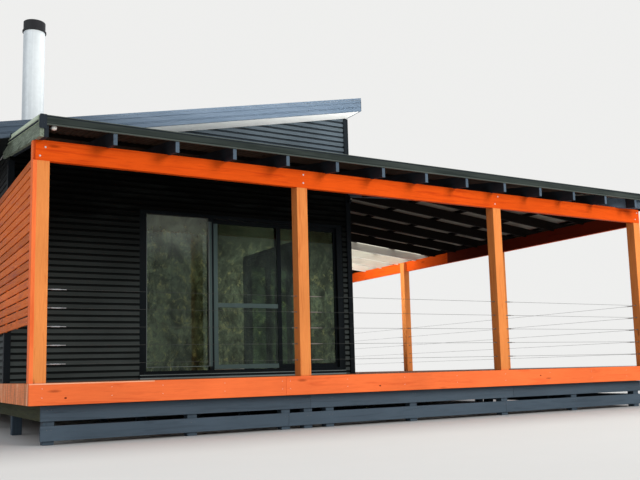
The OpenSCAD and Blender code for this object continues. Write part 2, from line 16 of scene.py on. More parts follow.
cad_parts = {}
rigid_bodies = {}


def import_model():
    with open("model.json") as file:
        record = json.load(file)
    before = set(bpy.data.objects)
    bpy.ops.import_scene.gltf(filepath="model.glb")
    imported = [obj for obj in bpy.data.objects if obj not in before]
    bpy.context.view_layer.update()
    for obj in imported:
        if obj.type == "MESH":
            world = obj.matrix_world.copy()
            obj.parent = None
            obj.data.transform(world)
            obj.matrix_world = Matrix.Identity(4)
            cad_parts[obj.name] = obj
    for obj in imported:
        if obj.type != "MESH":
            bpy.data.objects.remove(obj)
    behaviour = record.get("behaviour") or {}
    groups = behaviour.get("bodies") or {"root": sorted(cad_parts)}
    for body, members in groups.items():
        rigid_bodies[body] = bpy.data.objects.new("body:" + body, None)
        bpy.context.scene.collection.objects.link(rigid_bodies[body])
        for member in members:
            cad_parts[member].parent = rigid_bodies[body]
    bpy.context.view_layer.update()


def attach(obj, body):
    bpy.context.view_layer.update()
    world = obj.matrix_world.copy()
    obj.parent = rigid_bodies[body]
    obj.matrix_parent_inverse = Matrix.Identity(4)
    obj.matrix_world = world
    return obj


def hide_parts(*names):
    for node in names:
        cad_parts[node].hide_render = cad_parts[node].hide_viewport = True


Colour = tuple[float, float, float]
Pair = tuple[float, float]
Point = Sequence[float]
Socket = bpy.types.NodeSocket
Solid = bmesh.types.BMesh

LOG = logging.getLogger("beach_house")
HOUSE, DOOR = "house", "door"
UP, FRONT = Vector((0, 0, 1)), Vector((0, -1, 0))
# The frame's origin in plan coordinates
CENTRE = Vector((4.865, 5.049, 0))
# Clearance between neighbouring pieces
HAIR = 0.001
# Corrugation of the roof sheets: distance between crests, depth, and points for each crest
RIB_PITCH, RIB_DEPTH, RIB_STEPS = 0.076, 0.0165, 8
# How far a texture moves along each axis between a tone of 0 and a tone of 1
TONE_SHIFT = (37.0, 53.0, 71.0)
SMOOTH_BELOW = math.radians(35)


class Axis(Enum):
    """The direction that a board's grain or a sheet's ribs run in."""

    X = 0
    Y = 1
    Z = 2

    def drawn_out(self, across: float, along: float) -> list[float]:
        """Gives texture scales that differ along this axis."""
        return [along if axis is self else across for axis in Axis]


@dataclass(frozen=True)
class Plan:
    """The house's main lines in metres from the deck's front left corner on the ground."""

    deck_z: float = 0.655
    deck_l: float = 9.860
    deck_d: float = 10.040
    fascia_t: float = 0.040
    fascia_h: float = 0.230
    floor_t: float = 0.032
    wall_y: float = 1.850
    wall_t: float = 0.150
    house_l: float = 0.041
    house_r: float = 5.170
    house_rear: float = 9.980
    glazing_l: float = 1.750
    glazing_r: float = 5.029
    head: float = 2.995
    roof_l: float = 0.012
    roof_r: float = 10.110
    roof_f: float = -0.262
    roof_b: float = 10.100
    roof_z: float = 3.455
    side_roof_z: float = 3.412
    edge_t: float = 0.020
    edge_top: float = 3.475
    clear_f: float = 6.100
    clear_b: float = 8.370
    main_l: float = -0.400
    main_r: float = 5.210
    main_f: float = 1.450
    main_b: float = 10.380
    main_low: float = 3.910
    main_t: float = 0.030
    front_pitch: float = math.radians(8.5)
    side_pitch: float = math.radians(5.95)
    main_pitch: float = math.radians(11.85)

    def front_top(self, y: float) -> float:
        """Height of the front roof's top at a distance from the front."""
        return self.roof_z + (y - self.roof_f) * math.tan(self.front_pitch)

    def side_top(self, x: float) -> float:
        """Height of the side roof's top at a distance along the front."""
        return self.side_roof_z + (self.roof_r - x) * math.tan(self.side_pitch)

    def main_top(self, x: float) -> float:
        """Height of the main roof's top at a distance along the front."""
        return self.main_low + (x - self.house_l) * math.tan(self.main_pitch)

    def hip_x(self, y: float) -> float:
        """Place of the hip along the front at a distance from the front."""
        start = self.roof_r - (self.roof_z - self.side_roof_z) / math.tan(self.side_pitch)
        return start - (y - self.roof_f) * math.tan(self.front_pitch) / math.tan(self.side_pitch)


PLAN = Plan()


class Nodes:
    """Builds the node tree of a material or of the world with short calls."""

    def __init__(self, owner: bpy.types.Material | bpy.types.World) -> None:
        """Finds the shader and the output that a new tree starts with.

        Args:
            owner: the new material or world.
        """
        owner.use_nodes = True
        self.owner = owner
        self.tree = owner.node_tree
        self.out = self.tree.get_output_node("ALL")
        self.shader = self.out.inputs["Surface"].links[0].from_node

    def add(self, kind: str, **values: object) -> bpy.types.Node:
        """Adds a node and sets its properties and sockets.

        Args:
            kind: the node's type without the ShaderNode prefix.
            values: property names, or socket names with spaces written as underscores.

        Returns:
            The new node.
        """
        node = self.tree.nodes.new("ShaderNode" + kind)
        for key, value in values.items():
            if hasattr(node, key):
                setattr(node, key, value)
            else:
                self.put(node, key.replace("_", " "), value)
        return node

    def put(self, node: bpy.types.Node, socket: str | int, value: object) -> None:
        """Sets a socket, or links it.

        Args:
            node: the node.
            socket: the socket's name or number.
            value: a number, a colour or another node's socket.
        """
        if isinstance(value, Socket):
            self.tree.links.new(value, node.inputs[socket])
        else:
            node.inputs[socket].default_value = value

    def shade(self, **values: object) -> None:
        """Sets sockets of the shader that the tree started with."""
        for key, value in values.items():
            self.put(self.shader, key.replace("_", " "), value)

    def coords(self) -> Socket:
        """Gives Object coordinates."""
        return self.add("TexCoord").outputs["Object"]

    def tone(self) -> Socket:
        """Gives the tone of the solid, from 0 to 1."""
        return self.add("Attribute", attribute_name="tone").outputs["Fac"]

    def place(self, scale: Point = (1, 1, 1)) -> Socket:
        """Gives Object coordinates, scaled and moved on by the solid's own tone.

        Args:
            scale: stretch along X, Y and Z.

        Returns:
            A vector socket.
        """
        shift = self.add("VectorMath", operation="SCALE", Scale=self.tone())
        self.put(shift, 0, TONE_SHIFT)
        moved = self.add("VectorMath", operation="ADD")
        self.put(moved, 0, self.coords())
        self.put(moved, 1, shift.outputs[0])
        return self.add("Mapping", Vector=moved.outputs[0], Scale=scale).outputs[0]

    def noise(self, vector: Socket, scale: float, detail: float = 4.0,
              distortion: float = 0.0, roughness: float = 0.55) -> Socket:
        """Gives a noise value at a vector, with its size, octaves, bend and fineness."""
        return self.add("TexNoise", Vector=vector, Scale=scale, Detail=detail,
                        Distortion=distortion, Roughness=roughness).outputs["Fac"]

    def ramp(self, value: Socket, *stops: tuple[float, Colour]) -> Socket:
        """Maps a value to colours.

        Args:
            value: the value read.
            stops: pairs of a place from 0 to 1 and a colour.

        Returns:
            A colour socket.
        """
        node = self.add("ValToRGB", Fac=value)
        elements = node.color_ramp.elements
        while len(elements) < len(stops):
            elements.new(0.5)
        for element, (place, colour) in zip(elements, stops):
            element.position = place
            element.color = (*colour, 1.0)
        return node.outputs["Color"]

    def span(self, value: Socket, low: float, high: float,
             to_low: float = 0.0, to_high: float = 1.0) -> Socket:
        """Maps a value from one range to another, kept within it."""
        return self.add("MapRange", Value=value, From_Min=low, From_Max=high,
                        To_Min=to_low, To_Max=to_high).outputs["Result"]

    def math(self, operation: str, a: object, b: object) -> Socket:
        """Gives the result of a sum on two values.

        Args:
            operation: the sum's name.
            a: a number or a value socket.
            b: a number or a value socket.

        Returns:
            A value socket.
        """
        node = self.add("Math", operation=operation)
        self.put(node, 0, a)
        self.put(node, 1, b)
        return node.outputs[0]

    def mix(self, share: Socket, a: object, b: object) -> Socket:
        """Mixes two colours.

        Args:
            share: the share of the second colour.
            a: first colour or colour socket.
            b: second colour or colour socket.

        Returns:
            A colour socket.
        """
        node = self.add("Mix", data_type="RGBA")
        self.put(node, 0, share)
        for socket, value in ((6, a), (7, b)):
            self.put(node, socket, (*value, 1.0) if isinstance(value, tuple) else value)
        return node.outputs[2]

    def blend(self, share: object, a: Socket, b: Socket) -> Socket:
        """Gives a blend of two shaders.

        Args:
            share: the share of the second shader.
            a: first shader.
            b: second shader.

        Returns:
            A shader socket.
        """
        node = self.add("MixShader")
        for socket, value in enumerate((share, a, b)):
            self.put(node, socket, value)
        return node.outputs[0]

    def bump(self, height: Socket, strength: float, distance: float) -> None:
        """Gives the shader a bumped surface."""
        node = self.add("Bump", Height=height, Strength=strength, Distance=distance)
        self.put(self.shader, "Normal", node.outputs[0])


def _scaled(colour: Colour, by: float) -> Colour:
    """Gives a colour made darker or lighter."""
    return tuple(min(1.0, c * by) for c in colour)


def _mixed(a: Colour, b: Colour, share: float) -> Colour:
    """Gives a colour between two others."""
    return tuple(x * (1 - share) + y * share for x, y in zip(a, b))


@dataclass(frozen=True)
class Finish:
    """A finish that is made into a material when a piece first asks for it."""

    def build(self, name: str) -> bpy.types.Material:
        """Makes the material.

        Args:
            name: its name.

        Returns:
            The material.
        """
        nodes = Nodes(bpy.data.materials.new(name))
        self.fill(nodes)
        return nodes.owner

    def fill(self, nodes: Nodes) -> None:
        """Fills the material's nodes, which every kind of finish does in its own way."""
        raise NotImplementedError


@dataclass(frozen=True)
class Timber(Finish):
    """Stained or painted boards with grain, knots and a tone of their own."""

    light: Colour
    dark: Colour
    grain: float = 1.0
    rough: Pair = (0.38, 0.6)
    vary: float = 0.25
    knots: float = 0.6
    gloss: float = 0.04
    axis: Axis = Axis.X

    def fill(self, nodes: Nodes) -> None:
        """Lays grain along the axis, and knots.

        Args:
            nodes: the material's nodes.
        """
        flow = nodes.place(self.axis.drawn_out(9.0, 0.55))
        streak = nodes.noise(flow, 2.2, 6.0, 0.9, 0.6)
        fine = nodes.noise(flow, 14.0, 3.0, 0.3, 0.7)
        slow = nodes.noise(nodes.place(), 0.9, 2.0)
        cell = nodes.add("TexVoronoi", Vector=nodes.place(self.axis.drawn_out(7.0, 1.7)), Scale=0.75)
        knot = nodes.span(cell.outputs["Distance"], 0.035, 0.11, self.knots, 0.0)
        colour = nodes.ramp(streak, (0.25, self.dark), (0.48, self.light),
                            (0.8, _mixed(self.light, self.dark, 0.45)))
        colour = nodes.mix(nodes.span(fine, 0.35, 0.75, 0.0, 0.45 * self.grain), colour, self.dark)
        colour = nodes.mix(knot, colour, _scaled(self.dark, 0.35))
        level = nodes.math(
            "ADD", nodes.span(nodes.tone(), 0.0, 1.0, 1 - self.vary, 1 + self.vary * 0.4),
            nodes.span(slow, 0.3, 0.7, -0.10, 0.10))
        shaded = nodes.add("HueSaturation", Color=colour, Value=level)
        nodes.shade(Base_Color=shaded.outputs[0], Specular_IOR_Level=self.gloss,
                    Roughness=nodes.span(streak, 0.2, 0.8, *self.rough))
        nodes.bump(nodes.math("ADD", fine, nodes.math("MULTIPLY", streak, 1.6)), 0.6, 0.0006)


@dataclass(frozen=True)
class Coated(Finish):
    """Painted or colour-coated sheet metal with dust, streaks and small changes of tone."""

    colour: Colour
    worn: Colour
    rough: float = 0.42
    dust: float = 0.3
    streak: Axis = Axis.Z
    gloss: float = 0.4

    def fill(self, nodes: Nodes) -> None:
        """Lays streaks and patches of dust over the coat.

        Args:
            nodes: the material's nodes.
        """
        run = nodes.noise(nodes.place(self.streak.drawn_out(5.0, 0.35)), 2.4, 5.0, 0.4)
        patch = nodes.noise(nodes.place(), 1.3)
        speck = nodes.noise(nodes.place(), 90.0, 2.0)
        amount = nodes.math("MULTIPLY", nodes.span(run, 0.42, 0.75), self.dust)
        colour = nodes.mix(amount, self.colour, self.worn)
        colour = nodes.mix(nodes.span(patch, 0.3, 0.7, 0.0, 0.35 * self.dust), colour, self.worn)
        nodes.shade(Base_Color=colour, Specular_IOR_Level=self.gloss, Roughness=nodes.span(
            patch, 0.25, 0.75, self.rough - 0.08, self.rough + 0.12))
        nodes.bump(nodes.math("ADD", speck, patch), 0.25, 0.0004)


@dataclass(frozen=True)
class Cladding(Finish):
    """Dark wall steel, lighter near the deck, near-black as painted shade under the verandah's roof,
    and lighter above that roof.
    """

    low: Colour = (0.0500, 0.0610, 0.0600)
    shade: Colour = (0.0022, 0.0026, 0.0022)
    above_roof: Colour = (0.048, 0.062, 0.074)
    # Heights between which the low colour gives way to the painted shade, and the painted shade
    # gives way to the colour above the roof
    low_to_shade: Pair = (0.9, 2.9)
    shade_to_faded: Pair = (3.68, 3.80)

    def fill(self, nodes: Nodes) -> None:
        """Changes the colour with the height, under streaks and patches.

        Args:
            nodes: the material's nodes.
        """
        height = nodes.add("SeparateXYZ", Vector=nodes.coords()).outputs["Z"]
        run = nodes.noise(nodes.place((0.6, 0.6, 4.0)), 2.4, 5.0, 0.4)
        patch = nodes.noise(nodes.place(), 1.3)
        colour = nodes.mix(nodes.span(height, *self.low_to_shade), self.low, self.shade)
        colour = nodes.mix(nodes.span(height, *self.shade_to_faded), colour, self.above_roof)
        colour = nodes.mix(nodes.span(run, 0.45, 0.8, 0.0, 0.4), colour,
                           _mixed(self.shade, self.low, 0.5))
        value = nodes.add("HueSaturation", Color=colour, Value=nodes.span(patch, 0.3, 0.7, 0.8, 1.2))
        nodes.shade(Base_Color=value.outputs[0], Specular_IOR_Level=0.05,
                    Roughness=nodes.span(patch, 0.25, 0.75, 0.42, 0.58))
        nodes.bump(patch, 0.2, 0.0004)


@dataclass(frozen=True)
class Stained(Finish):
    """Stained board with upright brown and orange stain stripes, and pale stripes that are painted
    dappled sunlight.
    """

    brown: Colour = (0.34, 0.115, 0.045)
    orange: Colour = (0.92, 0.27, 0.085)
    pale: Colour = (0.95, 0.72, 0.50)

    def fill(self, nodes: Nodes) -> None:
        """Lays the upright stripes over a fine grain.

        Args:
            nodes: the material's nodes.
        """
        streak = nodes.noise(nodes.place((4.0, 4.0, 0.5)), 2.6, 4.0, 0.5)
        fine = nodes.noise(nodes.place((9.0, 0.6, 9.0)), 8.0)
        # The pale stop is painted sunlight
        colour = nodes.ramp(streak, (0.34, self.brown), (0.45, self.orange), (0.54, self.orange),
                            (0.64, self.pale))
        colour = nodes.mix(nodes.span(fine, 0.4, 0.8, 0.0, 0.4), colour, self.brown)
        nodes.shade(Base_Color=colour, Roughness=0.55, Specular_IOR_Level=0.15)
        nodes.bump(fine, 0.5, 0.0005)


@dataclass(frozen=True)
class Zinc(Finish):
    """Galvanised or stainless steel with crystals, clouds and perhaps darker upright bands of
    painted shade.
    """

    colour: Colour
    rough: float
    crystal: float
    metal: float = 0.9
    shade_bands: float = 0.0

    def fill(self, nodes: Nodes) -> None:
        """Lays crystals and clouds over the metal.

        Args:
            nodes: the material's nodes.
        """
        cell = nodes.add("TexVoronoi", Vector=nodes.place(), Scale=self.crystal)
        flake = nodes.add("SeparateColor", Color=cell.outputs["Color"]).outputs[0]
        cloud = nodes.noise(nodes.place((1, 1, 0.25)), 6.0)
        dull = _scaled(self.colour, 0.72)
        colour = nodes.mix(nodes.span(flake, 0.0, 1.0, 0.0, 0.35), self.colour,
                           _scaled(self.colour, 0.8))
        colour = nodes.mix(nodes.span(cloud, 0.45, 0.75, 0.0, 0.5), colour, dull)
        # Darker upright bands are painted shade on a round casing
        if self.shade_bands:
            band = nodes.noise(nodes.place((7.0, 7.0, 0.10)), 2.2, 2.0)
            colour = nodes.mix(nodes.span(band, 0.44, 0.58, 0.0, self.shade_bands), colour, dull)
        nodes.shade(Base_Color=colour, Metallic=self.metal, Roughness=nodes.math(
            "ADD", nodes.span(flake, 0.0, 1.0, -0.06, 0.06), self.rough))
        nodes.bump(cloud, 0.1, 0.0003)


@dataclass(frozen=True)
class Smooth(Finish):
    """Plastered, moulded or rubber surfaces with a fine even texture."""

    colour: Colour
    rough: float
    fine: float
    relief: float = 0.0003
    coat: float = 0.0

    def fill(self, nodes: Nodes) -> None:
        """Lays a fine texture and slight clouds.

        Args:
            nodes: the material's nodes.
        """
        fine = nodes.noise(nodes.place(), self.fine, 3.0)
        broad = nodes.noise(nodes.place(), 1.7, 3.0)
        colour = nodes.mix(nodes.span(broad, 0.3, 0.7, 0.0, 0.5), self.colour,
                           _scaled(self.colour, 0.88))
        nodes.shade(Base_Color=colour, Coat_Weight=self.coat, Roughness=nodes.span(
            fine, 0.3, 0.7, self.rough - 0.05, self.rough + 0.07))
        nodes.bump(fine, 0.4, self.relief)


@dataclass(frozen=True)
class Pane(Finish):
    """Window glass with a green tint, painted reflections of leaves, a soft reflection, a haze at
    the fixed pane's top and painted shade at the sliding pane's top.
    """

    tint: Colour = (0.52, 0.62, 0.50)
    film: Colour = (0.46, 0.52, 0.46)
    painted_leaf_light: Colour = (0.96, 0.98, 0.66)
    # The heights of the panes' top, hazy on the fixed pane and painted shade on the sliding one, and
    # the frame's X left of which the pane is fixed
    top: Pair = (2.15, 2.80)
    mullion: float = -2.055

    def fill(self, nodes: Nodes) -> None:
        """Mixes a tinted clear shader with a mirror, or with haze at the fixed pane's top.

        Args:
            nodes: the material's nodes.
        """
        film = nodes.noise(nodes.place(), 2.3, 3.0)
        parts = nodes.add("SeparateXYZ", Vector=nodes.coords())
        high = nodes.span(parts.outputs["Z"], *self.top)
        fixed = nodes.math("LESS_THAN", parts.outputs["X"], self.mullion)
        haze = nodes.math("MULTIPLY", high, fixed)
        # The sliding pane's top is painted darker, as painted shade
        shaded_top = nodes.math("MULTIPLY", high, nodes.math("SUBTRACT", 1.0, fixed))
        cloud = nodes.noise(nodes.place((1.0, 1.0, 0.6)), 3.4, 6.0, 1.2, 0.65)
        nodes.shade(Base_Color=nodes.ramp(cloud, (0.35, _scaled(self.film, 0.6)), (0.65, self.film)),
                    Roughness=nodes.span(film, 0.3, 0.7, 0.01, 0.04),
                    Metallic=nodes.math("SUBTRACT", 1.0, haze))
        tint = nodes.ramp(cloud, (0.36, _scaled(self.tint, 0.62)), (0.52, self.tint),
                          (0.66, _scaled(self.tint, 1.25)))
        # Dark and bright mottles of leaves in the see-through colour are a painted reflection
        leaf = nodes.noise(nodes.place((1.0, 1.0, 0.8)), 13.0, 6.0, 0.6, 0.7)
        tint = nodes.mix(nodes.span(leaf, 0.36, 0.47, 0.55, 0.0), tint, _scaled(self.tint, 0.45))
        tint = nodes.mix(nodes.span(leaf, 0.53, 0.64, 0.0, 0.75), tint, self.painted_leaf_light)
        clear = nodes.add("BsdfTransparent", Color=nodes.mix(shaded_top, tint, _scaled(self.tint, 0.40)))
        facing = nodes.add("LayerWeight", Blend=0.22).outputs["Fresnel"]
        mirror = nodes.math("MULTIPLY", nodes.span(facing, 0.0, 1.0, 0.07, 0.80),
                            nodes.span(shaded_top, 0.0, 1.0, 1.0, 0.55))
        share = nodes.math("MAXIMUM", mirror, nodes.math("MULTIPLY", haze, 0.42))
        nodes.put(nodes.out, "Surface",
                  nodes.blend(share, clear.outputs[0], nodes.shader.outputs[0]))


@dataclass(frozen=True)
class Milky(Finish):
    """Translucent roof sheet that lets a soft cream light through."""

    colour: Colour = (0.97, 0.955, 0.89)

    def fill(self, nodes: Nodes) -> None:
        """Blends the surface with shaders that let light through.

        Args:
            nodes: the material's nodes.
        """
        grime = nodes.noise(nodes.place((0.4, 3, 1)), 2.0, 5.0)
        colour = nodes.mix(nodes.span(grime, 0.45, 0.8, 0.0, 0.5), self.colour,
                           _scaled(self.colour, 0.8))
        nodes.shade(Base_Color=colour, Roughness=0.35)
        through = nodes.add("BsdfTranslucent", Color=colour)
        clear = nodes.add("BsdfTransparent", Color=(0.9, 0.9, 0.86, 1))
        milk = nodes.blend(0.68, nodes.shader.outputs[0], through.outputs[0])
        nodes.put(nodes.out, "Surface", nodes.blend(0.36, milk, clear.outputs[0]))


# Timber finishes, whose full names end with the axis of their grain
TIMBERS = {
    "post_stain": Timber((0.82, 0.29, 0.080), (0.60, 0.14, 0.032), 0.7, vary=0.10),
    "beam_stain": Timber((0.82, 0.100, 0.008), (0.52, 0.040, 0.004), 0.6, vary=0.08),
    # beam_shade is painted shade for the side beam's inner face, and also the colour of the front
    # fascia's knots
    "beam_shade": Timber((0.16, 0.020, 0.008), (0.08, 0.010, 0.004), 0.6, vary=0.08),
    "fascia_stain": Timber((0.93, 0.190, 0.054), (0.72, 0.110, 0.030), 0.6, vary=0.08),
    # A pale stain used as a painted highlight on the front fascia's top arris
    "worn_stain": Timber((0.95, 0.52, 0.34), (0.90, 0.26, 0.10), 0.8, vary=0.05),
    "screen_stain": Timber((0.84, 0.195, 0.030), (0.46, 0.062, 0.010), vary=0.28),
    "board_stain": Timber((0.95, 0.21, 0.060), (0.78, 0.12, 0.030), 0.5, vary=0.05),
    "deck_stain": Timber((0.36, 0.14, 0.065), (0.20, 0.07, 0.035), vary=0.3),
    "floor_varnish": Timber((0.46, 0.28, 0.15), (0.30, 0.16, 0.08), 0.9, (0.25, 0.4), 0.25, 0.4),
    "raw_timber": Timber((0.34, 0.25, 0.17), (0.17, 0.12, 0.08), 1.0, (0.6, 0.8), 0.25, 0.5),
    "base_paint": Timber((0.074, 0.103, 0.134), (0.047, 0.066, 0.086), 0.5, (0.5, 0.7), 0.12, 0.25),
    "mossy_paint": Timber((0.085, 0.090, 0.050), (0.030, 0.036, 0.022), 1.4, (0.6, 0.8), 0.2, 0.4),
    "rafter_paint": Timber((0.105, 0.145, 0.190), (0.060, 0.085, 0.115), 0.5, (0.45, 0.65),
                           0.12, 0.2),
    # Dark paint of the end rafter and the flashing's end cap, also used as painted shade on rafter
    # sides and in flashing folds and recesses
    "rafter_side": Timber((0.030, 0.038, 0.048), (0.016, 0.020, 0.026), 0.6, (0.6, 0.8),
                          0.12, 0.2, 0.05),
    "dark_stain": Timber((0.010, 0.008, 0.007), (0.005, 0.004, 0.003), 0.8, (0.6, 0.8), 0.2, 0.3),
    "barge_paint": Timber((0.34, 0.40, 0.31), (0.045, 0.055, 0.040), 1.9, (0.5, 0.7), 0.15, 0.4),
    # Pale paint as painted light on the side rafters under the clear sheets
    "pale_paint": Timber((0.90, 0.90, 0.84), (0.74, 0.74, 0.68), 0.4, (0.5, 0.65), 0.08, 0.1),
}
OTHERS = {
    "cladding_steel": Cladding(),
    # Near-black cladding for painted shade in the grooves
    "cladding_groove": Cladding((0.008, 0.010, 0.010), (0.0010, 0.0012, 0.0010),
                                (0.012, 0.016, 0.020)),
    "trim_steel": Coated((0.006, 0.008, 0.010), (0.016, 0.020, 0.024), 0.45, gloss=0.06),
    "verandah_steel": Coated((0.44, 0.47, 0.48), (0.54, 0.55, 0.54), 0.36, streak=Axis.Y),
    # The front sheets' underside is painted dark brown as painted shade
    "front_underside": Coated((0.075, 0.055, 0.042), (0.035, 0.026, 0.020), 0.6,
                              streak=Axis.Y, gloss=0.05),
    "side_underside": Coated((0.28, 0.27, 0.235), (0.18, 0.17, 0.145), 0.55,
                             streak=Axis.X, gloss=0.1),
    "edge_steel": Coated((0.015, 0.021, 0.019), (0.075, 0.090, 0.082), 0.45, 0.7, Axis.X, 0.12),
    "pale_edge_steel": Coated((0.58, 0.68, 0.50), (0.74, 0.80, 0.62), 0.5, streak=Axis.Y),
    # Lighter steel for painted highlights on the front flashing's lips
    "lip_steel": Coated((0.062, 0.076, 0.068), (0.12, 0.14, 0.12), 0.45, streak=Axis.X, gloss=0.15),
    "main_roof_steel": Coated((0.062, 0.088, 0.122), (0.135, 0.170, 0.215), 0.40,
                              streak=Axis.X, gloss=0.25),
    "frame_aluminium": Coated((0.0045, 0.0065, 0.0080), (0.012, 0.017, 0.020), 0.36, gloss=0.08),
    "leaf_aluminium": Coated((0.058, 0.090, 0.088), (0.090, 0.130, 0.126), 0.36, gloss=0.15),
    "sill_aluminium": Coated((0.17, 0.21, 0.21), (0.25, 0.28, 0.28), 0.36, gloss=0.15),
    "cowl_steel": Coated((0.012, 0.012, 0.014), (0.05, 0.05, 0.05), 0.55),
    "flue_zinc": Zinc((0.81, 0.865, 0.885), 0.42, 30.0, 0.22, 0.45),
    "wire_steel": Zinc((0.62, 0.63, 0.64), 0.30, 220.0),
    "wire_rope": Zinc((0.050, 0.054, 0.050), 0.6, 220.0, 0.2),
    # Dull zinc of screws, also painted shade on wire fittings
    "dull_zinc": Zinc((0.26, 0.24, 0.22), 0.5, 300.0, 0.5),
    "bolt_zinc": Zinc((0.84, 0.85, 0.87), 0.45, 300.0, 0.4),
    "fascia_weathered": Stained(),
    "soffit_lining": Smooth((0.90, 0.90, 0.88), 0.6, 90.0),
    "room_lining": Smooth((0.60, 0.60, 0.56), 0.8, 60.0),
    "rubber_seal": Smooth((0.012, 0.012, 0.013), 0.7, 160.0),
    "lamp_white": Smooth((0.86, 0.85, 0.80), 0.22, 40.0, 0.0001, 0.5),
    "window_glass": Pane(),
    "clear_sheet": Milky(),
}


@cache
def material(name: str) -> bpy.types.Material:
    """Gives the material of a finish, made when it is first asked for.

    Args:
        name: the finish's name.

    Returns:
        The material.
    """
    finish = OTHERS.get(name)
    if finish is None:
        base, end = name.rsplit("_", 1)
        finish = replace(TIMBERS[base], axis=Axis[end.upper()])
    return finish.build(name)


class Piece:
    """One piece of the house: solids gathered in plan coordinates, and then dressed."""

    def __init__(self, name: str, *finishes: str, seed: int) -> None:
        """Starts an empty piece.

        Args:
            name: the piece's name.
            finishes: the finishes that its faces may have, the first one as the default.
            seed: start of its random tones.
        """
        self.name = name
        self.finishes = finishes
        self.bm = bmesh.new()
        self.bm.verts.layers.float.new("tone")
        self.chance = random.Random(seed)

    def take(self, part: Solid, finish: int = 0, tone: float | None = None) -> None:
        """Adds a finished solid, with a tone of its own.

        Args:
            part: the solid, which is used up.
            finish: which of the piece's finishes it has.
            tone: its tone from 0 to 1, or None for a random one.
        """
        tone = self.chance.random() if tone is None else tone
        layer = part.verts.layers.float.get("tone") or part.verts.layers.float.new("tone")
        for vert in part.verts:
            vert[layer] = tone
        if finish:
            for face in part.faces:
                face.material_index = finish
        mesh = bpy.data.meshes.new("part")
        part.to_mesh(mesh)
        part.free()
        self.bm.from_mesh(mesh)
        bpy.data.meshes.remove(mesh)

    def box(self, low: Point, high: Point, bevel: float = 0.003, segments: int = 1,
            finish: int = 0, tone: float | None = None) -> None:
        """Adds a box with eased edges between two corners."""
        self.take(solid_box(low, high, bevel, segments), finish, tone)

    def rod(self, start: Point, end: Point, radius: float, sides: int = 16, bevel: float = 0.0,
            finish: int = 0, radius_end: float | None = None) -> None:
        """Adds a round rod or cone between two points."""
        self.take(solid_rod(start, end, radius, sides, bevel, radius_end), finish)

    def screw(self, place: Point, out: Point, radius: float, sides: int, finish: int,
              sunk: float = 0.004, proud: float = 0.0008) -> None:
        """Adds a screw's head, so far below and above a surface at a place."""
        place, out = Vector(place), Vector(out)
        self.rod(place - out * sunk, place + out * proud, radius, sides, finish=finish)

    def run(self, shape: Iterable[Pair], axis: Axis, ends: Pair, lift: float = 0.0,
            finish: int = 0, tone: float = 0.5, bevel: float = 0.0) -> None:
        """Adds an upright outline pushed along an axis, as in pushed()."""
        self.take(eased(pushed(shape, axis, ends, lift), bevel), finish, tone)

    def done(self, body: str = HOUSE, replaces: Iterable[str] = (),
             smooth: bool = False, shift: bool = True) -> None:
        """Makes the piece's object and tells the frame about it.

        Args:
            body: the body that it rides on.
            replaces: the CAD nodes that it stands for.
            smooth: whether its faces are shaded smooth where they meet at a small angle.
            shift: whether its coordinates are the plan's and not the frame's.
        """
        if shift:
            bmesh.ops.translate(self.bm, vec=-CENTRE, verts=self.bm.verts)
        for face in self.bm.faces:
            face.smooth = smooth
        for edge in self.bm.edges if smooth else ():
            edge.smooth = len(edge.link_faces) == 2 and edge.calc_face_angle(0.0) < SMOOTH_BELOW
        mesh = bpy.data.meshes.new(self.name)
        self.bm.to_mesh(mesh)
        LOG.info("%s: %d faces", self.name, len(self.bm.faces))
        self.bm.free()
        piece = bpy.data.objects.new(self.name, mesh)
        bpy.context.scene.collection.objects.link(piece)
        for finish in self.finishes:
            mesh.materials.append(material(finish))
        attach(piece, body)
        nodes = list(replaces)
        if nodes:
            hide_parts(*nodes)


def eased(part: Solid, width: float, segments: int = 1, sharp: float = 25.0) -> Solid:
    """Eases the sharp edges of a solid.

    Args:
        part: the solid.
        width: how far the edges are cut back, or 0 for none.
        segments: how many faces each eased edge gets.
        sharp: the angle in degrees from which an edge counts as sharp.

    Returns:
        The same solid.
    """
    if width > 0:
        edges = [e for e in part.edges
                 if len(e.link_faces) == 2 and e.calc_face_angle(0.0) > math.radians(sharp)]
        bmesh.ops.bevel(part, geom=edges, offset=width, offset_type="OFFSET", affect="EDGES",
                        segments=segments, profile=0.5, material=-1, clamp_overlap=True)
    return part


def solid_box(low: Point, high: Point, bevel: float, segments: int) -> Solid:
    """Makes a box with eased edges.

    Args:
        low: its lowest corner.
        high: its highest corner.
        bevel: how far the edges are cut back.
        segments: how many faces each eased edge gets.

    Returns:
        The solid.
    """
    low, high = Vector(low), Vector(high)
    part = bmesh.new()
    size = Matrix.Diagonal((*(high - low), 1.0))
    bmesh.ops.create_cube(part, size=1.0, matrix=Matrix.Translation((low + high) / 2) @ size)
    return eased(part, bevel, segments)


def solid_rod(start: Point, end: Point, radius: float, sides: int, bevel: float = 0.0,
              radius_end: float | None = None) -> Solid:
    """Makes a round rod or cone.

    Args:
        start: middle of its first end.
        end: middle of its other end.
        radius: its radius.
        sides: its number of sides.
        bevel: how far the rims are cut back.
        radius_end: its radius at the other end, where that differs.

    Returns:
        The solid.
    """
    start, end = Vector(start), Vector(end)
    part = bmesh.new()
    turn = (end - start).to_track_quat("Z", "Y").to_matrix().to_4x4()
    bmesh.ops.create_cone(part, cap_ends=True, segments=sides, radius1=radius,
                          radius2=radius if radius_end is None else radius_end,
                          depth=(end - start).length,
                          matrix=Matrix.Translation((start + end) / 2) @ turn)
    return eased(part, bevel, 1, 60.0)


